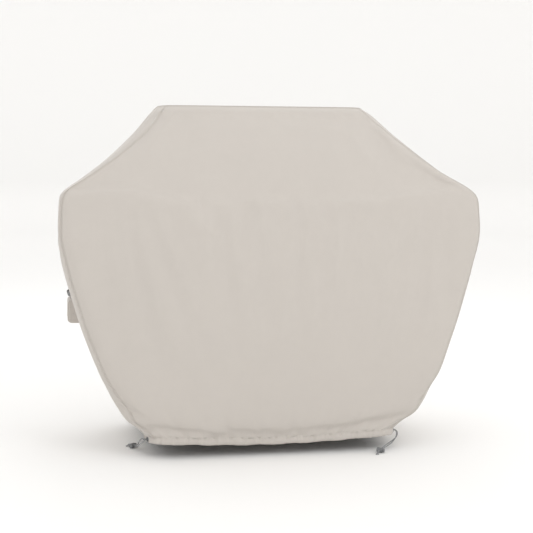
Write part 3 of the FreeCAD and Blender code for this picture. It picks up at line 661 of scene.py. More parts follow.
def cover_cloth():
    """The hanging part of the cover as one simulated sheet; returns its grid of points."""
    grid = shell_grid()
    lengths = run_of(grid[-1])
    away = outward_of(grid)
    flat_points = grid.reshape(-1, 3)
    folds = fold_height(flat_points).reshape(grid.shape[:2])
    ripple = gathers(np.broadcast_to(lengths, grid.shape[:2]), grid[..., 2])
    edge = np.clip((np.arange(len(grid)) - 1) / 3, 0, 1)[:, None]
    grid = grid + away * ((folds + ripple) * edge)[..., None]
    grid = hang(grid)
    near_hem = np.clip((HEM_TOP + 0.20 - grid[..., 2]) / 0.20, 0, 1)
    grid[..., 2] -= hem_sag(grid) * near_hem ** 2 * (3 - 2 * near_hem)
    return lay_on_vents(grid)


def hem_sag(points):
    """How far the hem hangs below its corners, where the drawcord holds it up."""
    along = np.clip(np.abs(points[..., 0]) / (HEM_LENGTH - HEM_CORNER), 0, 1)
    across = np.clip(np.abs(points[..., 1]) / (HEM_DEPTH - HEM_CORNER), 0, 1)
    front_or_back = 0.0115 * (1 - along ** 2) ** 1.3
    end = 0.004 * (1 - across ** 2) ** 1.3
    return np.where(np.abs(points[..., 1]) > HEM_DEPTH - HEM_CORNER, front_or_back, end)


def lay_on_vents(grid):
    """Bring the cloth flat against each vent's binding and the sewn ends of the handle."""
    x, y, z = grid[..., 0], grid[..., 1], grid[..., 2]
    near = (1 / (1 + np.exp((np.abs(y) - 0.125) / 0.006))
            / (1 + np.exp((np.abs(z + 0.705) - 0.085) / 0.006)) * (np.abs(x) > 0.6))
    flat = np.sign(x) * (wall_place(z) - 0.0002)
    grid[..., 0] = x + near * (flat - x)
    return grid


def keep_place(points):
    """How firmly each point is held: at the lid, the shelf's edges, the hem and what is sewn on."""
    x, y, z = points.T
    held = np.zeros(len(points))
    held = np.maximum(held, np.clip((z + 0.035) / 0.02, 0, 1))
    held = np.maximum(held, np.clip((HEM_TOP + 0.022 - z) / 0.016, 0, 1))
    shelf = np.exp(-((z + 0.335) / 0.028) ** 2) * np.clip((np.abs(x) - 0.38) / 0.1, 0.25, 1)
    held = np.maximum(held, 0.9 * shelf)
    base = np.exp(-((z + 0.465) / 0.02) ** 2) * 0.35
    held = np.maximum(held, base)
    vent = np.exp(-(np.maximum(0, np.abs(y) - 0.11) / 0.02) ** 2) \
        * np.exp(-(np.maximum(0, np.abs(z + 0.715) - 0.11) / 0.03) ** 2) * (np.abs(x) > 0.6)
    held = np.maximum(held, vent)
    label = np.exp(-((x + 0.31) / 0.05) ** 2 - ((z + 1.005) / 0.06) ** 2) * (y > 0.2)
    return np.clip(np.maximum(held, label), 0, 1)


CLOTH_SETTINGS = {
    "quality": 5, "mass": 0.15, "tension_stiffness": 18, "compression_stiffness": 12,
    "shear_stiffness": 6, "bending_stiffness": 1.2, "air_damping": 2,
    "vertex_group_mass": "held", "pin_stiffness": 4, "shrink_min": -0.012,
}
CLOTH_FRAMES, CLOTH_REACH = 26, 0.016  # steps run, and how far a point may move in metres


def hang(grid):
    """Let the cloth hang under its own weight with a little slack, then limit how far it moved."""
    rows, columns, _ = grid.shape
    points = grid.reshape(-1, 3)
    cloth = link("cloth_trial", (points, grid_faces(rows, columns, wrap=True)))
    group = cloth.vertex_groups.new(name="held")
    for index, weight in enumerate(keep_place(points)):
        if weight > 0.01:
            group.add([index], float(weight), "REPLACE")
    settings = modify(cloth, "CLOTH").settings
    for name, value in CLOTH_SETTINGS.items():
        setattr(settings, name, value)
    settings.effector_weights.gravity = 1.0
    scene = bpy.context.scene
    scene.frame_start, scene.frame_end = 1, CLOTH_FRAMES
    for number in range(1, CLOTH_FRAMES + 1):
        scene.frame_set(number)
    graph = bpy.context.evaluated_depsgraph_get()
    data = cloth.evaluated_get(graph).to_mesh()
    moved = np.zeros(len(points) * 3, np.float32)
    data.vertices.foreach_get("co", moved)
    shift = moved.reshape(-1, 3) - points
    size = np.linalg.norm(shift, axis=1)
    shift *= (CLOTH_REACH * np.tanh(size / CLOTH_REACH) / np.maximum(size, 1e-9))[:, None]
    scene.frame_set(1)
    bpy.data.objects.remove(cloth)
    return (points + shift).reshape(grid.shape)


def panel_mesh(grid, first, count):
    """Points, faces and UVs of the columns of one panel."""
    rows = len(grid)
    columns = [(first + k) % COLUMNS for k in range(count + 1)]
    patch = grid[:, columns]
    along = np.zeros(patch.shape[:2])
    down = np.zeros(patch.shape[:2])
    along[:, 1:] = np.cumsum(np.linalg.norm(np.diff(patch, axis=1), axis=2), axis=1)
    along -= along[:, -1:] / 2
    down[1:] = np.cumsum(np.linalg.norm(np.diff(patch, axis=0), axis=2), axis=0)
    faces = grid_faces(rows, count + 1)
    return patch.reshape(-1, 3), faces, np.stack([along.ravel(), down.ravel()], 1)


def lay_uv(obj, uv):
    layer = obj.data.uv_layers.new(name="cloth")
    for loop in obj.data.loops:
        layer.data[loop.index].uv = uv[loop.vertex_index]


def thicken(obj, levels=1, thickness=CLOTH):
    """Smooth a panel, give it its thickness inwards and colour its inner face."""
    if levels:
        modify(obj, "SUBSURF", levels=levels, render_levels=levels)
    modify(obj, "SOLIDIFY", thickness=thickness, offset=-1, material_offset=1,
           material_offset_rim=0, use_even_offset=False)
    return flatten(obj)


def face_outwards(obj, centre=(0, 0, -0.6)):
    mesh = bmesh.new()
    mesh.from_mesh(obj.data)
    total = sum((f.calc_center_median() - Vector(centre)).dot(f.normal) * f.calc_area()
                for f in mesh.faces)
    if total < 0:
        bmesh.ops.reverse_faces(mesh, faces=mesh.faces)
    mesh.to_mesh(obj.data)
    mesh.free()


PANELS = {
    # name: first column, column count, CAD nodes, flat size and area
    "front_cloth": (0, FACE_COUNT, ("front_panel",), (1.52, 1.26), 1.62),
    "right_cloth": (FACE_COUNT, END_COUNT, ("right_slope_panel", "right_side_panel"),
                    (0.60, 1.42), 0.80),
    "back_cloth": (FACE_COUNT + END_COUNT, FACE_COUNT, ("back_panel",), (1.52, 1.26), 1.62),
    "left_cloth": (2 * FACE_COUNT + END_COUNT, END_COUNT, ("left_slope_panel", "left_side_panel"),
                   (0.60, 1.42), 0.80),
}


def vent_opening(side):
    low, high = (Vector(v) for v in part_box(f"{side}_vent_mesh"))
    inset = Vector((0.05, -0.004, -0.004))
    return low - inset, high + inset


def build_panels(grid):
    """The four hanging panels and the top, each a sheet of its own."""
    made = {}
    for name, (first, count, nodes, flat, area) in PANELS.items():
        points, faces, uv = panel_mesh(grid, first, count)
        obj = link(name, (points, faces))
        lay_uv(obj, uv)
        face_outwards(obj)
        thicken(obj)
        side = name.split("_")[0]
        if side in SIDES:
            low, high = vent_opening(side)
            cutter = bmesh.new()
            bmesh.ops.create_cube(cutter, size=1)
            for vert in cutter.verts:
                vert.co = Vector((low[k] if vert.co[k] < 0 else high[k] for k in range(3)))
            tool = link("vent_cutter", cutter, smooth=False)
            modify(obj, "BOOLEAN", operation="DIFFERENCE", object=tool, solver="EXACT")
            flatten(obj)
            bpy.data.objects.remove(tool)
            obj.data.shade_smooth()
        finish_piece(obj, "cover", (fabric, coating), nodes)
        made[name] = obj

    outline = grid[0]
    rings = [outline] + crown_rings(outline)
    points = np.concatenate(rings)
    top = link("top_cloth", (points, grid_faces(len(rings), COLUMNS, wrap=True)))
    lay_uv(top, points[:, :2])
    mesh = bmesh.new()
    mesh.from_mesh(top.data)
    bmesh.ops.remove_doubles(mesh, verts=mesh.verts, dist=0.0006)
    mesh.to_mesh(top.data)
    mesh.free()
    face_outwards(top)
    thicken(top)
    finish_piece(top, "cover", (fabric, coating), ("top_panel",))
    made["top_cloth"] = top
    return made


# ---------------------------------------------------------------- seams, stitches and tape

def surface_of(objects):
    points, faces = [], []
    for obj in objects:
        start = len(points)
        points += [v.co.copy() for v in obj.data.vertices]
        faces += [tuple(start + k for k in p.vertices) for p in obj.data.polygons]
    return BVHTree.FromPolygons(points, faces)


def stitches(path, surface, pitch=0.0075, length=0.0052, radius=0.00042, lift=0.00035,
             middle_of=(0, 0, -0.6), inside=False):
    """Sewing stitches along a path on a surface, as one (points, faces) pair."""
    path = np.asarray(path, float)
    total = np.linalg.norm(np.diff(path, axis=0), axis=1).sum()
    count = max(2, int(total / pitch))
    dots = resample(path, count)
    parts = []
    for here, there in zip(dots, dots[1:]):
        way = Vector(there - here).normalized()
        middle, normal, _, _ = surface.find_nearest(Vector((here + there) / 2))
        if middle is None:
            continue
        if (normal.dot(middle - Vector(middle_of)) < 0) != inside:
            normal = -normal
        side = normal.cross(way).normalized()
        base = []
        for share, swell in ((-0.5, 0.35), (-0.3, 1.0), (0.3, 1.0), (0.5, 0.35)):
            centre = middle + way * length * share + normal * lift * (0.2 + 0.8 * swell)
            for k in range(6):
                turn = math.pi * 2 * k / 6
                base.append(centre + (side * math.cos(turn) + normal * math.sin(turn))
                            * radius * swell)
        loops = [(r * 6 + k, r * 6 + (k + 1) % 6, (r + 1) * 6 + (k + 1) % 6, (r + 1) * 6 + k)
                 for r in range(3) for k in range(6)]
        loops += [(5, 4, 3, 2, 1, 0), (18, 19, 20, 21, 22, 23)]
        parts.append(([tuple(p) for p in base], loops))
    return join_meshes(parts)


def beside(grid, column, offset):
    """The path a given distance to one side of a column."""
    step = 1 if offset > 0 else -1
    here = grid[:, column]
    there = grid[:, (column + step) % COLUMNS]
    gap = np.linalg.norm(there - here, axis=1)[:, None]
    return here + (there - here) * abs(offset) / gap


def seams(grid, panels):
    """The corner seams and the seam round the top: a felled ridge, two stitch rows and tape."""
    surface = surface_of(panels.values())
    away = outward_of(grid)
    ridges, rows = [], []
    tapes = {"front": [], "back": []}
    for name, column in SEAMS.items():
        fine = resample(grid[:, column], 3 * len(grid))
        ridges.append(tube_mesh(fine, 0.0013, sides=8))
        for offset in (-0.0055, 0.0055):
            rows.append(stitches(beside(grid, column, offset)[1:], surface))
        inner = [beside(grid, column, offset)[2:-1] - away[2:-1, column] * (CLOTH + 0.0004)
                 for offset in (-0.008, -0.004, 0.0001, 0.004, 0.008)]
        strip = np.stack(inner, 1)
        count = len(strip)
        loops = [(r * 5 + c, r * 5 + c + 1, (r + 1) * 5 + c + 1, (r + 1) * 5 + c)
                 for r in range(count - 1) for c in range(4)]
        tapes[name.split("_")[0]].append(([tuple(p) for p in strip.reshape(-1, 3)], loops))
    closed = np.concatenate([grid[0], grid[0][:1]])
    crown = resample(closed, 3 * COLUMNS)[:-1]
    ridges.append(tube_mesh(crown, 0.0014, sides=8, closed=True))
    middle = np.array((OUTLINE[0, 4], 0, OUTLINE[0, 0]))
    inward = middle - closed
    inward /= np.linalg.norm(inward, axis=1)[:, None]
    rows.append(stitches(closed + inward * 0.006, surface))
    below = np.concatenate([grid[1], grid[1][:1]])
    rows.append(stitches(closed + (below - closed) * 0.4, surface))
    ridge = link("seam_ridges", join_meshes(ridges))
    lay_uv(ridge, np.array([(v.co.x + v.co.y, v.co.z) for v in ridge.data.vertices]))
    finish_piece(ridge, "cover", fabric)
    sewn = link("seam_stitches", join_meshes(rows))
    finish_piece(sewn, "cover", thread)
    for face, strips in tapes.items():
        tape = link(f"{face}_tape_film", join_meshes(strips))
        modify(tape, "SOLIDIFY", thickness=0.0003, offset=0)
        flatten(tape)
        finish_piece(tape, "cover", tape_film, (f"{face}_seam_tape",))


# ---------------------------------------------------------------- hem

def split_columns(line, parts):
    """A closed line with each of its segments cut in equal parts."""
    after = np.roll(line, -1, 0)
    share = np.arange(parts)[:, None, None] / parts
    return (line + (after - line) * share).transpose(1, 0, 2).reshape(-1, line.shape[1])


def ring_outward(ring):
    """Unit level direction away from a closed ring's inside."""
    ahead = np.roll(ring, -2, 0) - np.roll(ring, 2, 0)
    away = np.column_stack([ahead[:, 1], -ahead[:, 0]])
    away /= np.linalg.norm(away, axis=1)[:, None]
    return away * np.where((away * ring[:, :2]).sum(1) < 0, -1, 1)[:, None]


def hem(grid):
    """Gathered drawcord channel round the mouth: cloth turned up inside and sewn, with the cord in it."""
    parts = 3
    top_line = split_columns(grid[-1], parts)
    rim = ring_points(HEM_LENGTH, HEM_DEPTH, HEM_CORNER, FACE_COUNT * parts, END_COUNT * parts)
    count = len(rim)
    out = ring_outward(rim)
    lengths = run_of(rim)
    clear = np.ones(count)
    for side in SIDES:
        low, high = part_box(f"{side}_eyelet")
        place = np.array((low + high) / 2)[:2]
        clear *= 1 - np.exp(-(np.linalg.norm(rim - place, axis=1) / 0.02) ** 2)
    wobble = sum(share * np.sin(2 * np.pi * lengths / wave + phase)
                 for wave, share, phase in ((0.019, 0.5, 0.3), (0.031, 0.7, 1.7), (0.067, 0.5, 4.4)))
    wobble = wobble * 0.0011 * clear
    droop = 0.0012 * np.sin(2 * np.pi * lengths / 0.113 + 0.7) * clear
    section = (
        # outward offset, height above the hem's lower edge, share of the wobble
        (0.0006, 0.0285, 0.5), (0.0014, 0.0250, 0.8), (0.0006, 0.0222, 0.9), (0.0014, 0.0190, 1.0),
        (0.0024, 0.0140, 1.0), (0.0022, 0.0085, 1.1), (0.0008, 0.0036, 1.2), (-0.0022, 0.0006, 1.2),
        (-0.0055, 0.0002, 1.2), (-0.0082, 0.0022, 1.1), (-0.0098, 0.0070, 1.0),
        (-0.0100, 0.0125, 0.9), (-0.0084, 0.0178, 0.8), (-0.0044, 0.0218, 0.8),
        (-0.0022, 0.0236, 0.7),
    )
    layers = len(section)
    rows = np.zeros((count, layers, 3))
    for k, (offset, height, share) in enumerate(section):
        pressed = offset * clear if offset > 0 else offset
        rows[:, k, :2] = rim + out * (pressed - 0.0007 + wobble * share)[:, None]
        rows[:, k, 2] = HEM_BASE + height - hem_sag(rim) + droop * (1 - height / 0.03)
    shift = top_line[:, :2] - rim
    blend = np.array([max(0.0, 1 - k / 4) for k in range(layers)])
    rows[..., :2] += shift[:, None] * blend[None, :, None]
    faces = [(i * layers + k, i * layers + k + 1, (i + 1) % count * layers + k + 1,
              (i + 1) % count * layers + k) for i in range(count) for k in range(layers - 1)]
    casing = link("hem_casing", (rows.reshape(-1, 3), faces))
    down = run_of(rows[0])
    lay_uv(casing, np.array([(lengths[i], down[k]) for i in range(count) for k in range(layers)]))
    modify(casing, "SOLIDIFY", thickness=0.001, offset=0, use_even_offset=False)
    modify(casing, "SUBSURF", levels=1, render_levels=1)
    flatten(casing)
    for side in SIDES:
        bore = link("eyelet_bore", lathe(((0.0, -0.004), (0.0057, -0.004), (0.0057, 0.006), (0.0, 0.006)),
                                         eyelet_frame(side)), smooth=False)
        cut(casing, bore)
    finish_piece(casing, "cover", hem_cloth,
                 ("front_hem", "back_hem", "left_hem", "right_hem"))
    surface = surface_of([casing])
    row = link("hem_stitches", stitches(np.concatenate([rows[:, 2], rows[:1, 2]]), surface,
                                        pitch=0.007))
    finish_piece(row, "cover", thread)
    drawcord(rim, out)


def drawcord(rim, out):
    """The cord inside the hem: one length along the front and one round the sides and back."""
    inside = np.column_stack([rim - out * 0.0052,
                              HEM_BASE + EYELET_HEIGHT - hem_sag(rim)])
    mouths = {side: eyelet_frame(side) for side in SIDES}
    marks = {side: int(np.argmin(np.linalg.norm(rim - np.array(mouths[side].translation)[:2], axis=1)))
             for side in SIDES}
    step = 0.006 / np.linalg.norm(rim[1] - rim[0])
    reach = max(2, round(step))
    count = len(rim)
    for name, first, last in (("front", "left", "right"), ("rear", "right", "left")):
        start, stop = marks[first] + reach, marks[last] - reach
        stop += count * (stop < start)
        path = [Vector(inside[k % count]) for k in range(start, stop)]
        for side, at_start in ((first, True), (last, False)):
            x, y, height = STRAND_ROUTES[f"{side}_{name}_strand"][0]
            mouth = Vector((x, y, height + FLOOR))
            outward = mouths[side].to_3x3() @ Vector((0, 0, 1))
            ends = [mouth - outward * 0.0002, mouth - outward * 0.0035, mouth - outward * 0.0052]
            path = ends + path if at_start else path + ends[::-1]
        cord = link(f"{name}_hem_cord", tube_mesh(path, CORD / 2 - 0.0001, sides=8))
        finish_piece(cord, "cover", cord_braid, (f"{name}_drawcord",))


# ---------------------------------------------------------------- vents

def hood_rows():
    """The hood's profile: distance out from its top seam, height below it and thickness inwards."""
    return ((0.0008, 0.0000, 0), (0.0060, -0.0014, 0), (0.0125, -0.0034, 0), (0.0180, -0.0064, 0),
            (0.0217, -0.0108, 0), (0.0234, -0.0170, 0), (0.0239, -0.0260, 0), (0.0238, -0.0380, 0),
            (0.0236, -0.0500, 0), (0.0236, -0.0620, 0), (0.0237, -0.0700, 0), (0.0237, -0.0762, 0),
            (0.0229, -0.0806, 0), (0.0204, -0.0840, 0), (0.0168, -0.0858, 0), (0.0138, -0.0863, 0),
            (0.0128, -0.0853, 0.0016), (0.0150, -0.0836, 0.0018), (0.0184, -0.0822, 0.0018),
            (0.0205, -0.0796, 0.0018))


def hood(side):
    """Soft fabric hood hung from its top seam, with gussets back to the wall and a turned edge."""
    low, high = (Vector(v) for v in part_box(f"{side}_vent_hood"))
    sign = SIDES[side]
    half = (high.y - low.y) / 2
    top = high.z
    base = wall_place(top)
    count_face, count_turn, count_side = 26, 5, 6
    rows = []
    for out, down, inset in hood_rows():
        wall = wall_place(top + down) + 0.0006
        face = max(base + out, wall + 0.0004)
        wide = half - 0.0006 - inset
        turn = min(0.009, face - wall)
        path = [(wall + (face - turn - wall) * k / count_side, -wide) for k in range(count_side)]
        path += [(face - turn + turn * math.sin(a), -wide + turn * (1 - math.cos(a)))
                 for a in np.linspace(0, math.pi / 2, count_turn)]
        path += [(face, -wide + turn + (2 * (wide - turn)) * k / count_face)
                 for k in range(1, count_face)]
        path += [(x, -y) for x, y in reversed(path[:count_side + count_turn])]
        row = np.array([(x, y, top + down) for x, y in path])
        hang_share = min(1.0, -down / 0.05)
        y = row[:, 1] / half
        puff = -0.0013 * np.cos(y * math.pi / 2) * hang_share
        crease = 0.0007 * np.sin(y * 9 + down * 60 + sign) + 0.0005 * np.sin(y * 21 - down * 130)
        front = np.clip((row[:, 0] - wall) / max(face - wall, 1e-6), 0, 1) ** 2
        row[:, 0] += (puff + crease * hang_share) * front
        row[:, 2] += 0.0009 * np.sin(y * 5.3 + sign) * hang_share * (down < -0.06)
        rows.append(row)
    grid = np.array(rows)
    grid[..., 0] *= sign
    count = grid.shape[1]
    obj = link(f"{side}_hood_cloth", (grid.reshape(-1, 3), grid_faces(len(grid), count)))
    across = run_of(grid[10])
    along = run_of(grid[:, count // 2])
    lay_uv(obj, np.array([(a, b) for b in along for a in across]))
    face_outwards(obj, (sign * (base - 0.02), 0, (low.z + high.z) / 2))
    thicken(obj, thickness=0.0011)
    finish_piece(obj, f"{side}_hood", (fabric, coating), (f"{side}_vent_hood",))

    surface = surface_of([obj])
    centre = (sign * base, 0, (low.z + high.z) / 2)
    small = {"pitch": 0.006, "length": 0.0043, "radius": 0.00036, "middle_of": centre}
    rows = [stitches(grid[11], surface, **small),
            stitches(grid[1][count_side + count_turn:-count_side - count_turn], surface, **small)]
    for column in (count_side + 2, count - count_side - 3):
        for shift in (-2, 3):
            rows.append(stitches(grid[4:13, column + shift], surface, **small))
    sewn = link(f"{side}_hood_stitches", join_meshes(rows))
    finish_piece(sewn, f"{side}_hood", thread)
    ridges = [tube_mesh(grid[3:13, column] + (sign * 0.0001, 0, 0), 0.0010, sides=8)
              for column in (count_side + 2, count - count_side - 3)]
    piping = link(f"{side}_hood_piping", join_meshes(ridges))
    finish_piece(piping, f"{side}_hood", fabric)
    seam = np.array([(sign * (base + 0.0005), y, top + 0.0002)
                     for y in np.linspace(-half + 0.001, half - 0.001, 24)])
    bead = link(f"{side}_hood_seam", tube_mesh(seam, 0.0013, sides=10))
    finish_piece(bead, "cover", fabric)


def vent_mesh(side):
    """Open mesh behind the hood: single threads woven over and under each other."""
    frame = wall_frame(side, MESH_TOP)
    length, height, pitch, radius = VENT_LENGTH, VENT_HEIGHT, 0.0022, 0.00032
    parts = []
    for count, reach, run, upright in ((round(length / pitch), length, height, True),
                                       (round(height / pitch), height, length, False)):
        crossings = round(run / pitch)
        for k in range(1, count):
            across = reach * k / count
            path = []
            for step in range(2 * crossings + 1):
                lift = 0.5 * radius * (1 if upright else -1) * math.cos(math.pi * (step / 2 + k))
                along = run * step / (2 * crossings)
                y, z = (across, along) if upright else (along, across)
                path.append(frame @ Vector((-0.0011 + lift, y - length / 2, z - height)))
            parts.append(tube_mesh(path, radius, sides=4, caps=False))
    obj = link(f"{side}_mesh_threads", join_meshes(parts))
    finish_piece(obj, "cover", mesh_thread, (f"{side}_vent_mesh",))


def band(path, across, half_width, thickness, closed=False):
    """Webbing along a path: a flat strip with rounded edges, lying square to each normal.

    across gives, at each point, the unit direction over the strip's width; the strip's back lies on
    the path.
    """
    section = ((-1.0, 0.12), (-0.985, 0.62), (-0.9, 0.92), (-0.5, 1.0), (0.5, 1.0), (0.9, 0.92),
               (0.985, 0.62), (1.0, 0.12), (0.96, 0.0), (-0.96, 0.0))
    path = np.asarray(path, float)
    ahead = np.gradient(path, axis=0) if not closed else np.roll(path, -1, 0) - np.roll(path, 1, 0)
    points = []
    for place, way, side in zip(path, ahead, across):
        side = np.asarray(side, float)
        up = np.cross(way, side)
        up /= np.linalg.norm(up)
        points += [place + side * half_width * w + up * thickness * t for w, t in section]
    wide, rows = len(section), len(path)
    faces = [(r * wide + k, r * wide + (k + 1) % wide, (r + 1) % rows * wide + (k + 1) % wide,
              (r + 1) % rows * wide + k)
             for r in range(rows if closed else rows - 1) for k in range(wide)]
    if not closed:
        faces += [tuple(range(wide))[::-1], tuple((rows - 1) * wide + k for k in range(wide))]
    run = run_of(path)
    uv = np.array([(w * half_width, a) for a in run for w, _ in section])
    return points, faces, uv


def facing_band(path, across, outward, half_width, thickness, closed=False):
    """A band with its thickness on the outward side of the path."""
    made = band(path, across, half_width, thickness, closed)
    if (made[0][4] - np.array(path[0])).dot(np.array(outward)) < 0:
        made = band(path, [-way for way in across], half_width, thickness, closed)
    return made


def rounded_loop(length, height, corner, steps=5, spacing=0.004):
    """Points round a rectangle with rounded corners, in its own plane, and their outward ways."""
    loop, ways = [], []
    for turn, (sy, sz) in enumerate(((1, 1), (-1, 1), (-1, -1), (1, -1))):
        centre = np.array((sy * (length / 2 - corner), sz * (height / 2 - corner)))
        for a in np.linspace(turn * math.pi / 2, (turn + 1) * math.pi / 2, steps):
            ways.append((math.cos(a), math.sin(a)))
            loop.append(centre + corner * np.array(ways[-1]))
        span = (length if turn in (0, 2) else height) - 2 * corner
        after = np.array(((-1, 1), (-1, -1), (1, -1), (1, 1))[turn], float)
        target = after * (length / 2 - corner, height / 2 - corner)
        target += corner * np.array(ways[-1])
        for share in np.linspace(0, 1, max(2, int(span / spacing)) + 1)[1:-1]:
            loop.append((1 - share) * (centre + corner * np.array(ways[-1])) + share * target)
            ways.append(ways[-1])
    return np.array(loop), np.array(ways)


def binding(side):
    """Webbing sewn round the vent's opening, with two rows of stitches."""
    frame = wall_frame(side, MESH_TOP)
    turn = frame.to_3x3()
    length, height, outer, lap = VENT_LENGTH, VENT_HEIGHT, 0.010, 0.003
    half_width = (outer + lap) / 2
    shift = (outer - lap) / 2
    loop, ways = rounded_loop(length + 2 * shift, height + 2 * shift, half_width + 0.0012)
    path = [frame @ Vector((0.0001, y, z - height / 2)) for y, z in loop]
    across = [turn @ Vector((0, y, z)) for y, z in ways]
    points, faces, uv = facing_band(path, across, turn @ Vector((1, 0, 0)), half_width, 0.0011,
                                    closed=True)
    obj = weld(link(f"{side}_binding_tape", (points, faces)))
    lay_uv(obj, uv)
    finish_piece(obj, "cover", webbing, (f"{side}_vent_binding",))
    surface = surface_of([obj])
    rows = []
    for offset in (-half_width + 0.0022, half_width - 0.0022):
        line = [p + w * offset for p, w in zip(path, across)]
        rows.append(stitches(line + line[:1], surface, 0.0048, 0.0034, 0.0003,
                             middle_of=frame @ Vector((-0.05, 0, -0.02))))
    sewn = link(f"{side}_binding_stitches", join_meshes(rows))
    finish_piece(sewn, "cover", dark_thread)


def prop_trim(side):
    """Stitches that hold the hook tape to the prop, and the loop tape to the wall."""
    patch, inset = 0.0250, 0.0022
    ring = rounded_loop(patch - 2 * inset, patch - 2 * inset, 0.0015, 2)[0]
    for part, body in (("loop_patch", "cover"), ("hook_patch", f"{side}_prop")):
        obj = frame["nodes"][f"{side}_{part}"]
        low, high = (Vector(v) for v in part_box(obj.name))
        surface = surface_of([obj])
        middle = (low + high) / 2
        if part == "loop_patch":
            matrix = wall_frame(side, middle.z)
            line = moved([(0.0016, y, z) for y, z in ring], matrix)
            behind = matrix @ Vector((-0.05, 0, 0))
        else:
            line = [Vector((middle.x + a, middle.y + b, low.z)) for a, b in ring]
            behind = middle + Vector((0, 0, 0.05))
        sewn = link(f"{side}_{part}_stitches", stitches(line + line[:1], surface, 0.0042, 0.003,
                                                        0.0003, middle_of=behind))
        finish_piece(sewn, body, dark_thread)


# ---------------------------------------------------------------- handles

def handle(side):
    """Webbing strap sewn down at both ends, made as two halves that meet at the middle."""
    frame = wall_frame(side, HANDLE_LEVEL)
    turn = frame.to_3x3()
    thickness, half_width, span, bow = 0.0018, 0.0089, 0.082, 0.0200
    up = turn @ Vector((0, 0, 1))

    def place(y):
        share = min(1.0, abs(y) / span)
        rise = 0.55 * (1 - share ** 2) + 0.45 * math.cos(share * math.pi / 2) ** 2
        return Vector((0.00015 + (bow - thickness) * rise, y, 0.0006 * math.sin(y * 70)))

    for name, way in (("near", -1 if side == "right" else 1), ("far", 1 if side == "right" else -1)):
        steps = np.concatenate([[0.1058, 0.1050], np.linspace(0.1035, 0, 44)]) * way
        path = [frame @ place(y) for y in steps]
        points, faces, uv = facing_band(path, [up] * len(path), turn @ Vector((1, 0, 0)),
                                        half_width, thickness)
        obj = link(f"{side}_{name}_strap", (points, faces))
        lay_uv(obj, uv)
        weld(obj)
        replaced = (f"{side}_handle", f"{side}_handle_ends") if name == "near" else ()
        obj.data.materials.append(webbing)
        if replaced:
            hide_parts(*replaced)
        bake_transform(obj)
        surface = surface_of([obj])
        near, far = way * 0.0855, way * 0.1035
        reach = 0.0066
        box = [(near, -reach), (far, -reach), (far, reach), (near, reach), (near, -reach)]
        cross = [[(near, -reach), (far, reach)], [(near, reach), (far, -reach)]]
        rows = []
        for line in [box] + cross:
            path = [frame @ Vector((thickness, y, z)) for y, z in line]
            for here, there in zip(path, path[1:]):
                rows.append(stitches([here, there], surface, 0.0035, 0.0026, 0.0003,
                                     middle_of=frame @ Vector((-0.05, 0, 0))))
        sewn = link(f"{side}_{name}_strap_stitches", join_meshes(rows))
        finish_piece(sewn, "cover", dark_thread)


# ---------------------------------------------------------------- eyelets, cords and cord locks

def eyelet(side):
    """Pressed eyelet: a domed rim rolled over the cloth, with its washer behind."""
    frame = eyelet_frame(side)
    rim = ((0.0050, -0.0028), (0.0050, 0.0004), (0.0053, 0.0009), (0.0060, 0.0012), (0.0072, 0.0013),
           (0.0084, 0.0010), (0.0093, 0.0004), (0.0095, 0.0000), (0.0093, -0.0001), (0.0060, -0.0001),
           (0.0060, -0.0022), (0.0067, -0.0024), (0.0070, -0.0028), (0.0066, -0.0031),
           (0.0056, -0.0031))
    washer = ((0.0061, -0.0016), (0.0073, -0.0016), (0.0075, -0.0019), (0.0073, -0.0023),
              (0.0061, -0.0023))
    obj = link(f"{side}_eyelet_ring", join_meshes([lathe(rim, frame, 40, True),
                                                   lathe(washer, frame, 40, True)]))
    weld(obj)
    finish_piece(obj, "cover", eyelet_metal, (f"{side}_eyelet", f"{side}_eyelet_washer"))


def strand(name):
    """One free strand, from the eyelet's mouth to the knot."""
    curve = bpy.data.curves.new(name + "_braid", "CURVE")
    curve.dimensions = "3D"
    spline = curve.splines.new("NURBS")
    route = [Vector((x, y, height + FLOOR)) for x, y, height in STRAND_ROUTES[name]]
    spline.points.add(len(route) - 1)
    for point, place in zip(spline.points, route):
        point.co = (*place, 1)
    spline.order_u = 3
    spline.use_endpoint_u = True
    spline.resolution_u = 16
    curve.bevel_depth = CORD / 2
    curve.bevel_resolution = 4
    curve.use_fill_caps = True
    obj = bpy.data.objects.new(name + "_braid", curve)
    bpy.context.scene.collection.objects.link(obj)
    finish_piece(obj, "cover", cord_braid, (name,))
    return obj, route


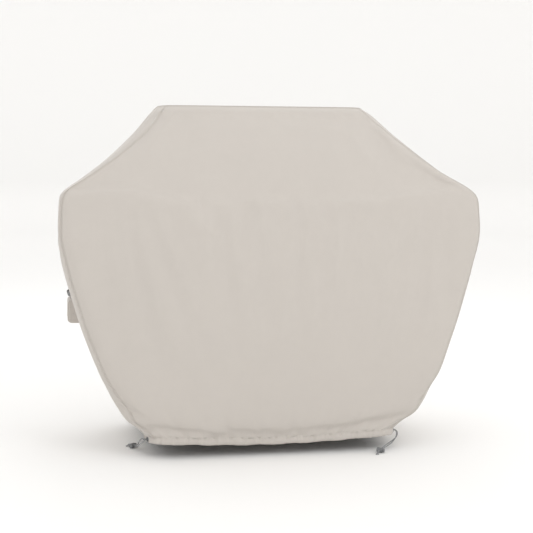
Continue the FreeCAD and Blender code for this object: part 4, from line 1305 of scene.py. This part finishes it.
def knot(side):
    """Overhand knot in the pair of strands, with two short sealed tails on the floor."""
    end, way = lock_line(side)
    up = Vector((0, 0, 1))
    across = way.cross(up).normalized()
    up = across.cross(way)
    base = columns_matrix(way, across, up, end)
    loop = []
    for t in np.linspace(0, 2 * math.pi, 72, endpoint=False):
        bulk = 0.00105 * (math.sin(t) + 2 * math.sin(2 * t)), 0.00105 * (math.cos(t) - 2 * math.cos(2 * t))
        loop.append(base @ Vector((0.0046 - 0.0016 * math.sin(3 * t), bulk[0], bulk[1])))
    parts = [tube_mesh(loop, 0.0016, sides=12, closed=True)]
    for offset in (-0.002, 0.002):
        entry = [base @ Vector((x, 0.0, offset * share)) for x, share in
                 ((-0.0004, 1.0), (0.0015, 0.95), (0.0035, 0.7), (0.0055, 0.45))]
        parts.append(tube_mesh(entry, 0.00172, sides=12))
    level = Vector((way.x, way.y, 0)).normalized()
    rest = FLOOR + CORD / 2 + 0.0003
    for spread, reach in ((-14, 0.0135), (14, 0.0122)):
        lie = Matrix.Rotation(math.radians(spread), 3, "Z") @ level
        start = base @ Vector((0.004, 0, 0))
        tail = []
        for share in np.linspace(0, 1, 9):
            spot = start + lie * reach * share
            spot.z = start.z + (rest - start.z) * min(1, share * 1.25)
            tail.append(spot)
        parts.append(tube_mesh(tail, CORD / 2, sides=12))
        tip = tail[-1]
        turn = lie.to_track_quat("Z", "Y").to_matrix().to_4x4()
        turn.translation = tip
        parts.append(lathe(((0, -0.0004), (0.0016, -0.0004), (0.00175, 0.0002), (0.0014, 0.0009),
                            (0, 0.0012)), turn, 12))
    obj = link(f"{side}_knot", join_meshes(parts))
    finish_piece(obj, "cover", cord_braid, (f"{side}_cord_knot",))
    return obj


def slot_cutter(name, low, tall, frame, wide=0.0092, reach=0.02):
    """Bar with rounded edges that opens a lock from side to side for both strands."""
    loop, _ = rounded_loop(wide, tall, min(wide, tall) * 0.4, 6)
    ring = [(y, z + low + tall / 2) for y, z in loop]
    count = len(ring)
    points = [(x, y, z) for x in (-reach, reach) for y, z in ring]
    faces = [(k, (k + 1) % count, count + (k + 1) % count, count + k) for k in range(count)]
    faces += [tuple(range(count)), tuple(range(count, 2 * count))]
    return link(name, (moved(points, frame), faces), smooth=False)


def cord_lock(side):
    """Spring toggle: fluted barrel and push button, each slotted so both strands pass through."""
    frame = lock_frame(side)
    outer, length, bore, floor = 0.0085, 0.019, 0.0057, 0.002
    edge = 0.0022
    profile = [(0, 0)] + [(outer - edge + edge * math.sin(a), edge * (1 - math.cos(a)))
                          for a in np.linspace(0, math.pi / 2, 6)]
    profile += [(outer, 0.0045), (outer, 0.0060), (outer, 0.0100), (outer, 0.0145), (outer, 0.0160)]
    profile += [(outer, length - 0.0010), (outer - 0.0003, length - 0.0003), (outer - 0.0010, length),
                (bore + 0.0006, length), (bore, length - 0.0006), (bore, floor), (0, floor)]
    fluted = {7: 0.5, 8: 1.0, 9: 1.0, 10: 1.0, 11: 0.5}

    def flute(turn, index):
        return -0.00035 * fluted.get(index, 0) * (0.5 + 0.5 * math.cos(18 * turn))

    barrel = weld(link(f"{side}_lock_shell", lathe(profile, frame, 108, ripple=flute)))
    cut(barrel, slot_cutter("slot", LOCK_SLOT_LEVEL - 0.0023, 0.0046, frame))
    soften(barrel)
    finish_piece(barrel, f"{side}_lock", lock_plastic, (f"{side}_lock_barrel",))

    foot, neck, stem, head, cap = 0.007, 0.0224, 0.0053, 0.007, 0.004
    profile = [(0, foot), (stem - 0.0005, foot), (stem, foot + 0.0005), (stem, neck),
               (head - 0.0006, neck), (head, neck + 0.0006), (head, neck + cap * 0.55),
               (head - 0.0006, neck + cap * 0.82), (head - 0.0020, neck + cap * 0.98),
               (head - 0.0034, neck + cap), (head - 0.0048, neck + cap * 0.93), (0, neck + cap * 0.88)]
    button = weld(link(f"{side}_lock_button", lathe(profile, frame, 64)))
    cut(button, slot_cutter("slot", 0.0092, 0.0079, frame))
    soften(button)
    finish_piece(button, f"{side}_plunger", lock_plastic, (f"{side}_lock_plunger",))


def soften(obj, width=0.0002):
    """Small bevel on the sharp edges, with flat faces kept flat."""
    modify(obj, "BEVEL", width=width, segments=2, limit_method="ANGLE",
           angle_limit=math.radians(40), harden_normals=False)
    flatten(obj)
    obj.data.shade_smooth()
    return obj


def cords():
    """Both pairs of strands, each with its knot, and the locks that ride on them."""
    for side in SIDES:
        eyelet(side)
        tied = knot(side)
        cord_lock(side)
        for which in ("front", "rear"):
            name = f"{side}_{which}_strand"
            obj, route = strand(name)


# ---------------------------------------------------------------- care label

def care_label():
    """Blank satin label sewn in by its upper edge, curling a little at the free end."""
    low, high = (Vector(v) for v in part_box("care_label"))
    across, down = 10, 16
    points, uv = [], []
    for r in range(down + 1):
        share = r / down
        for c in range(across + 1):
            side = c / across
            curl = 0.0012 * share ** 2 * math.sin(side * 3.0 + 0.4) + 0.0016 * share ** 3
            points.append((low.x + (high.x - low.x) * side, (low.y + high.y) / 2 - curl,
                           high.z + (low.z - high.z) * share))
            uv.append((side * 0.04, share * 0.06))
    wide = across + 1
    faces = [(r * wide + c, r * wide + c + 1, (r + 1) * wide + c + 1, (r + 1) * wide + c)
             for r in range(down) for c in range(across)]
    obj = link("care_label_cloth", (points, faces))
    lay_uv(obj, np.array(uv))
    modify(obj, "SUBSURF", levels=1, render_levels=1)
    modify(obj, "SOLIDIFY", thickness=0.0003, offset=0)
    flatten(obj)
    finish_piece(obj, "cover", label_cloth, ("care_label",))
    surface = surface_of([obj])
    line = [Vector((low.x + 0.002 + (high.x - low.x - 0.004) * k / 8, low.y, high.z - 0.003))
            for k in range(9)]
    sewn = link("care_label_stitches", stitches(line, surface, 0.004, 0.003, 0.0003, inside=True))
    finish_piece(sewn, "cover", thread)


# ---------------------------------------------------------------- run

studio()
sheet_grid = cover_cloth()
cloths = build_panels(sheet_grid)
seams(sheet_grid, cloths)
hem(sheet_grid)
for which in SIDES:
    hood(which)
    vent_mesh(which)
    binding(which)
    prop_trim(which)
    handle(which)
cords()
care_label()

CAD_LOOKS = {
    "eyelet": eyelet_metal, "eyelet_washer": eyelet_metal, "lock_barrel": lock_plastic,
    "lock_plunger": lock_plastic, "lock_spring": spring_steel, "vent_prop": stiff_board,
    "hook_patch": napped, "loop_patch": napped, "vent_hood": fabric, "vent_mesh": mesh_thread,
    "vent_binding": webbing, "handle": webbing, "handle_ends": webbing,
    "front_strand": cord_braid, "rear_strand": cord_braid, "cord_knot": cord_braid,
}
for name, obj in frame["nodes"].items():
    look = CAD_LOOKS.get(name.split("_", 1)[1], cord_braid)
    if name == "care_label":
        look = label_cloth
    for slot in obj.material_slots:
        slot.material = look

# In the real lock the coil springs shorten as the plungers go in; here each spring only gets a mesh of its
# own. The barrel's closed end holds one end of each.
for side in SIDES:
    seat = lock_frame(side)
    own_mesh(frame["nodes"][f"{side}_lock_spring"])
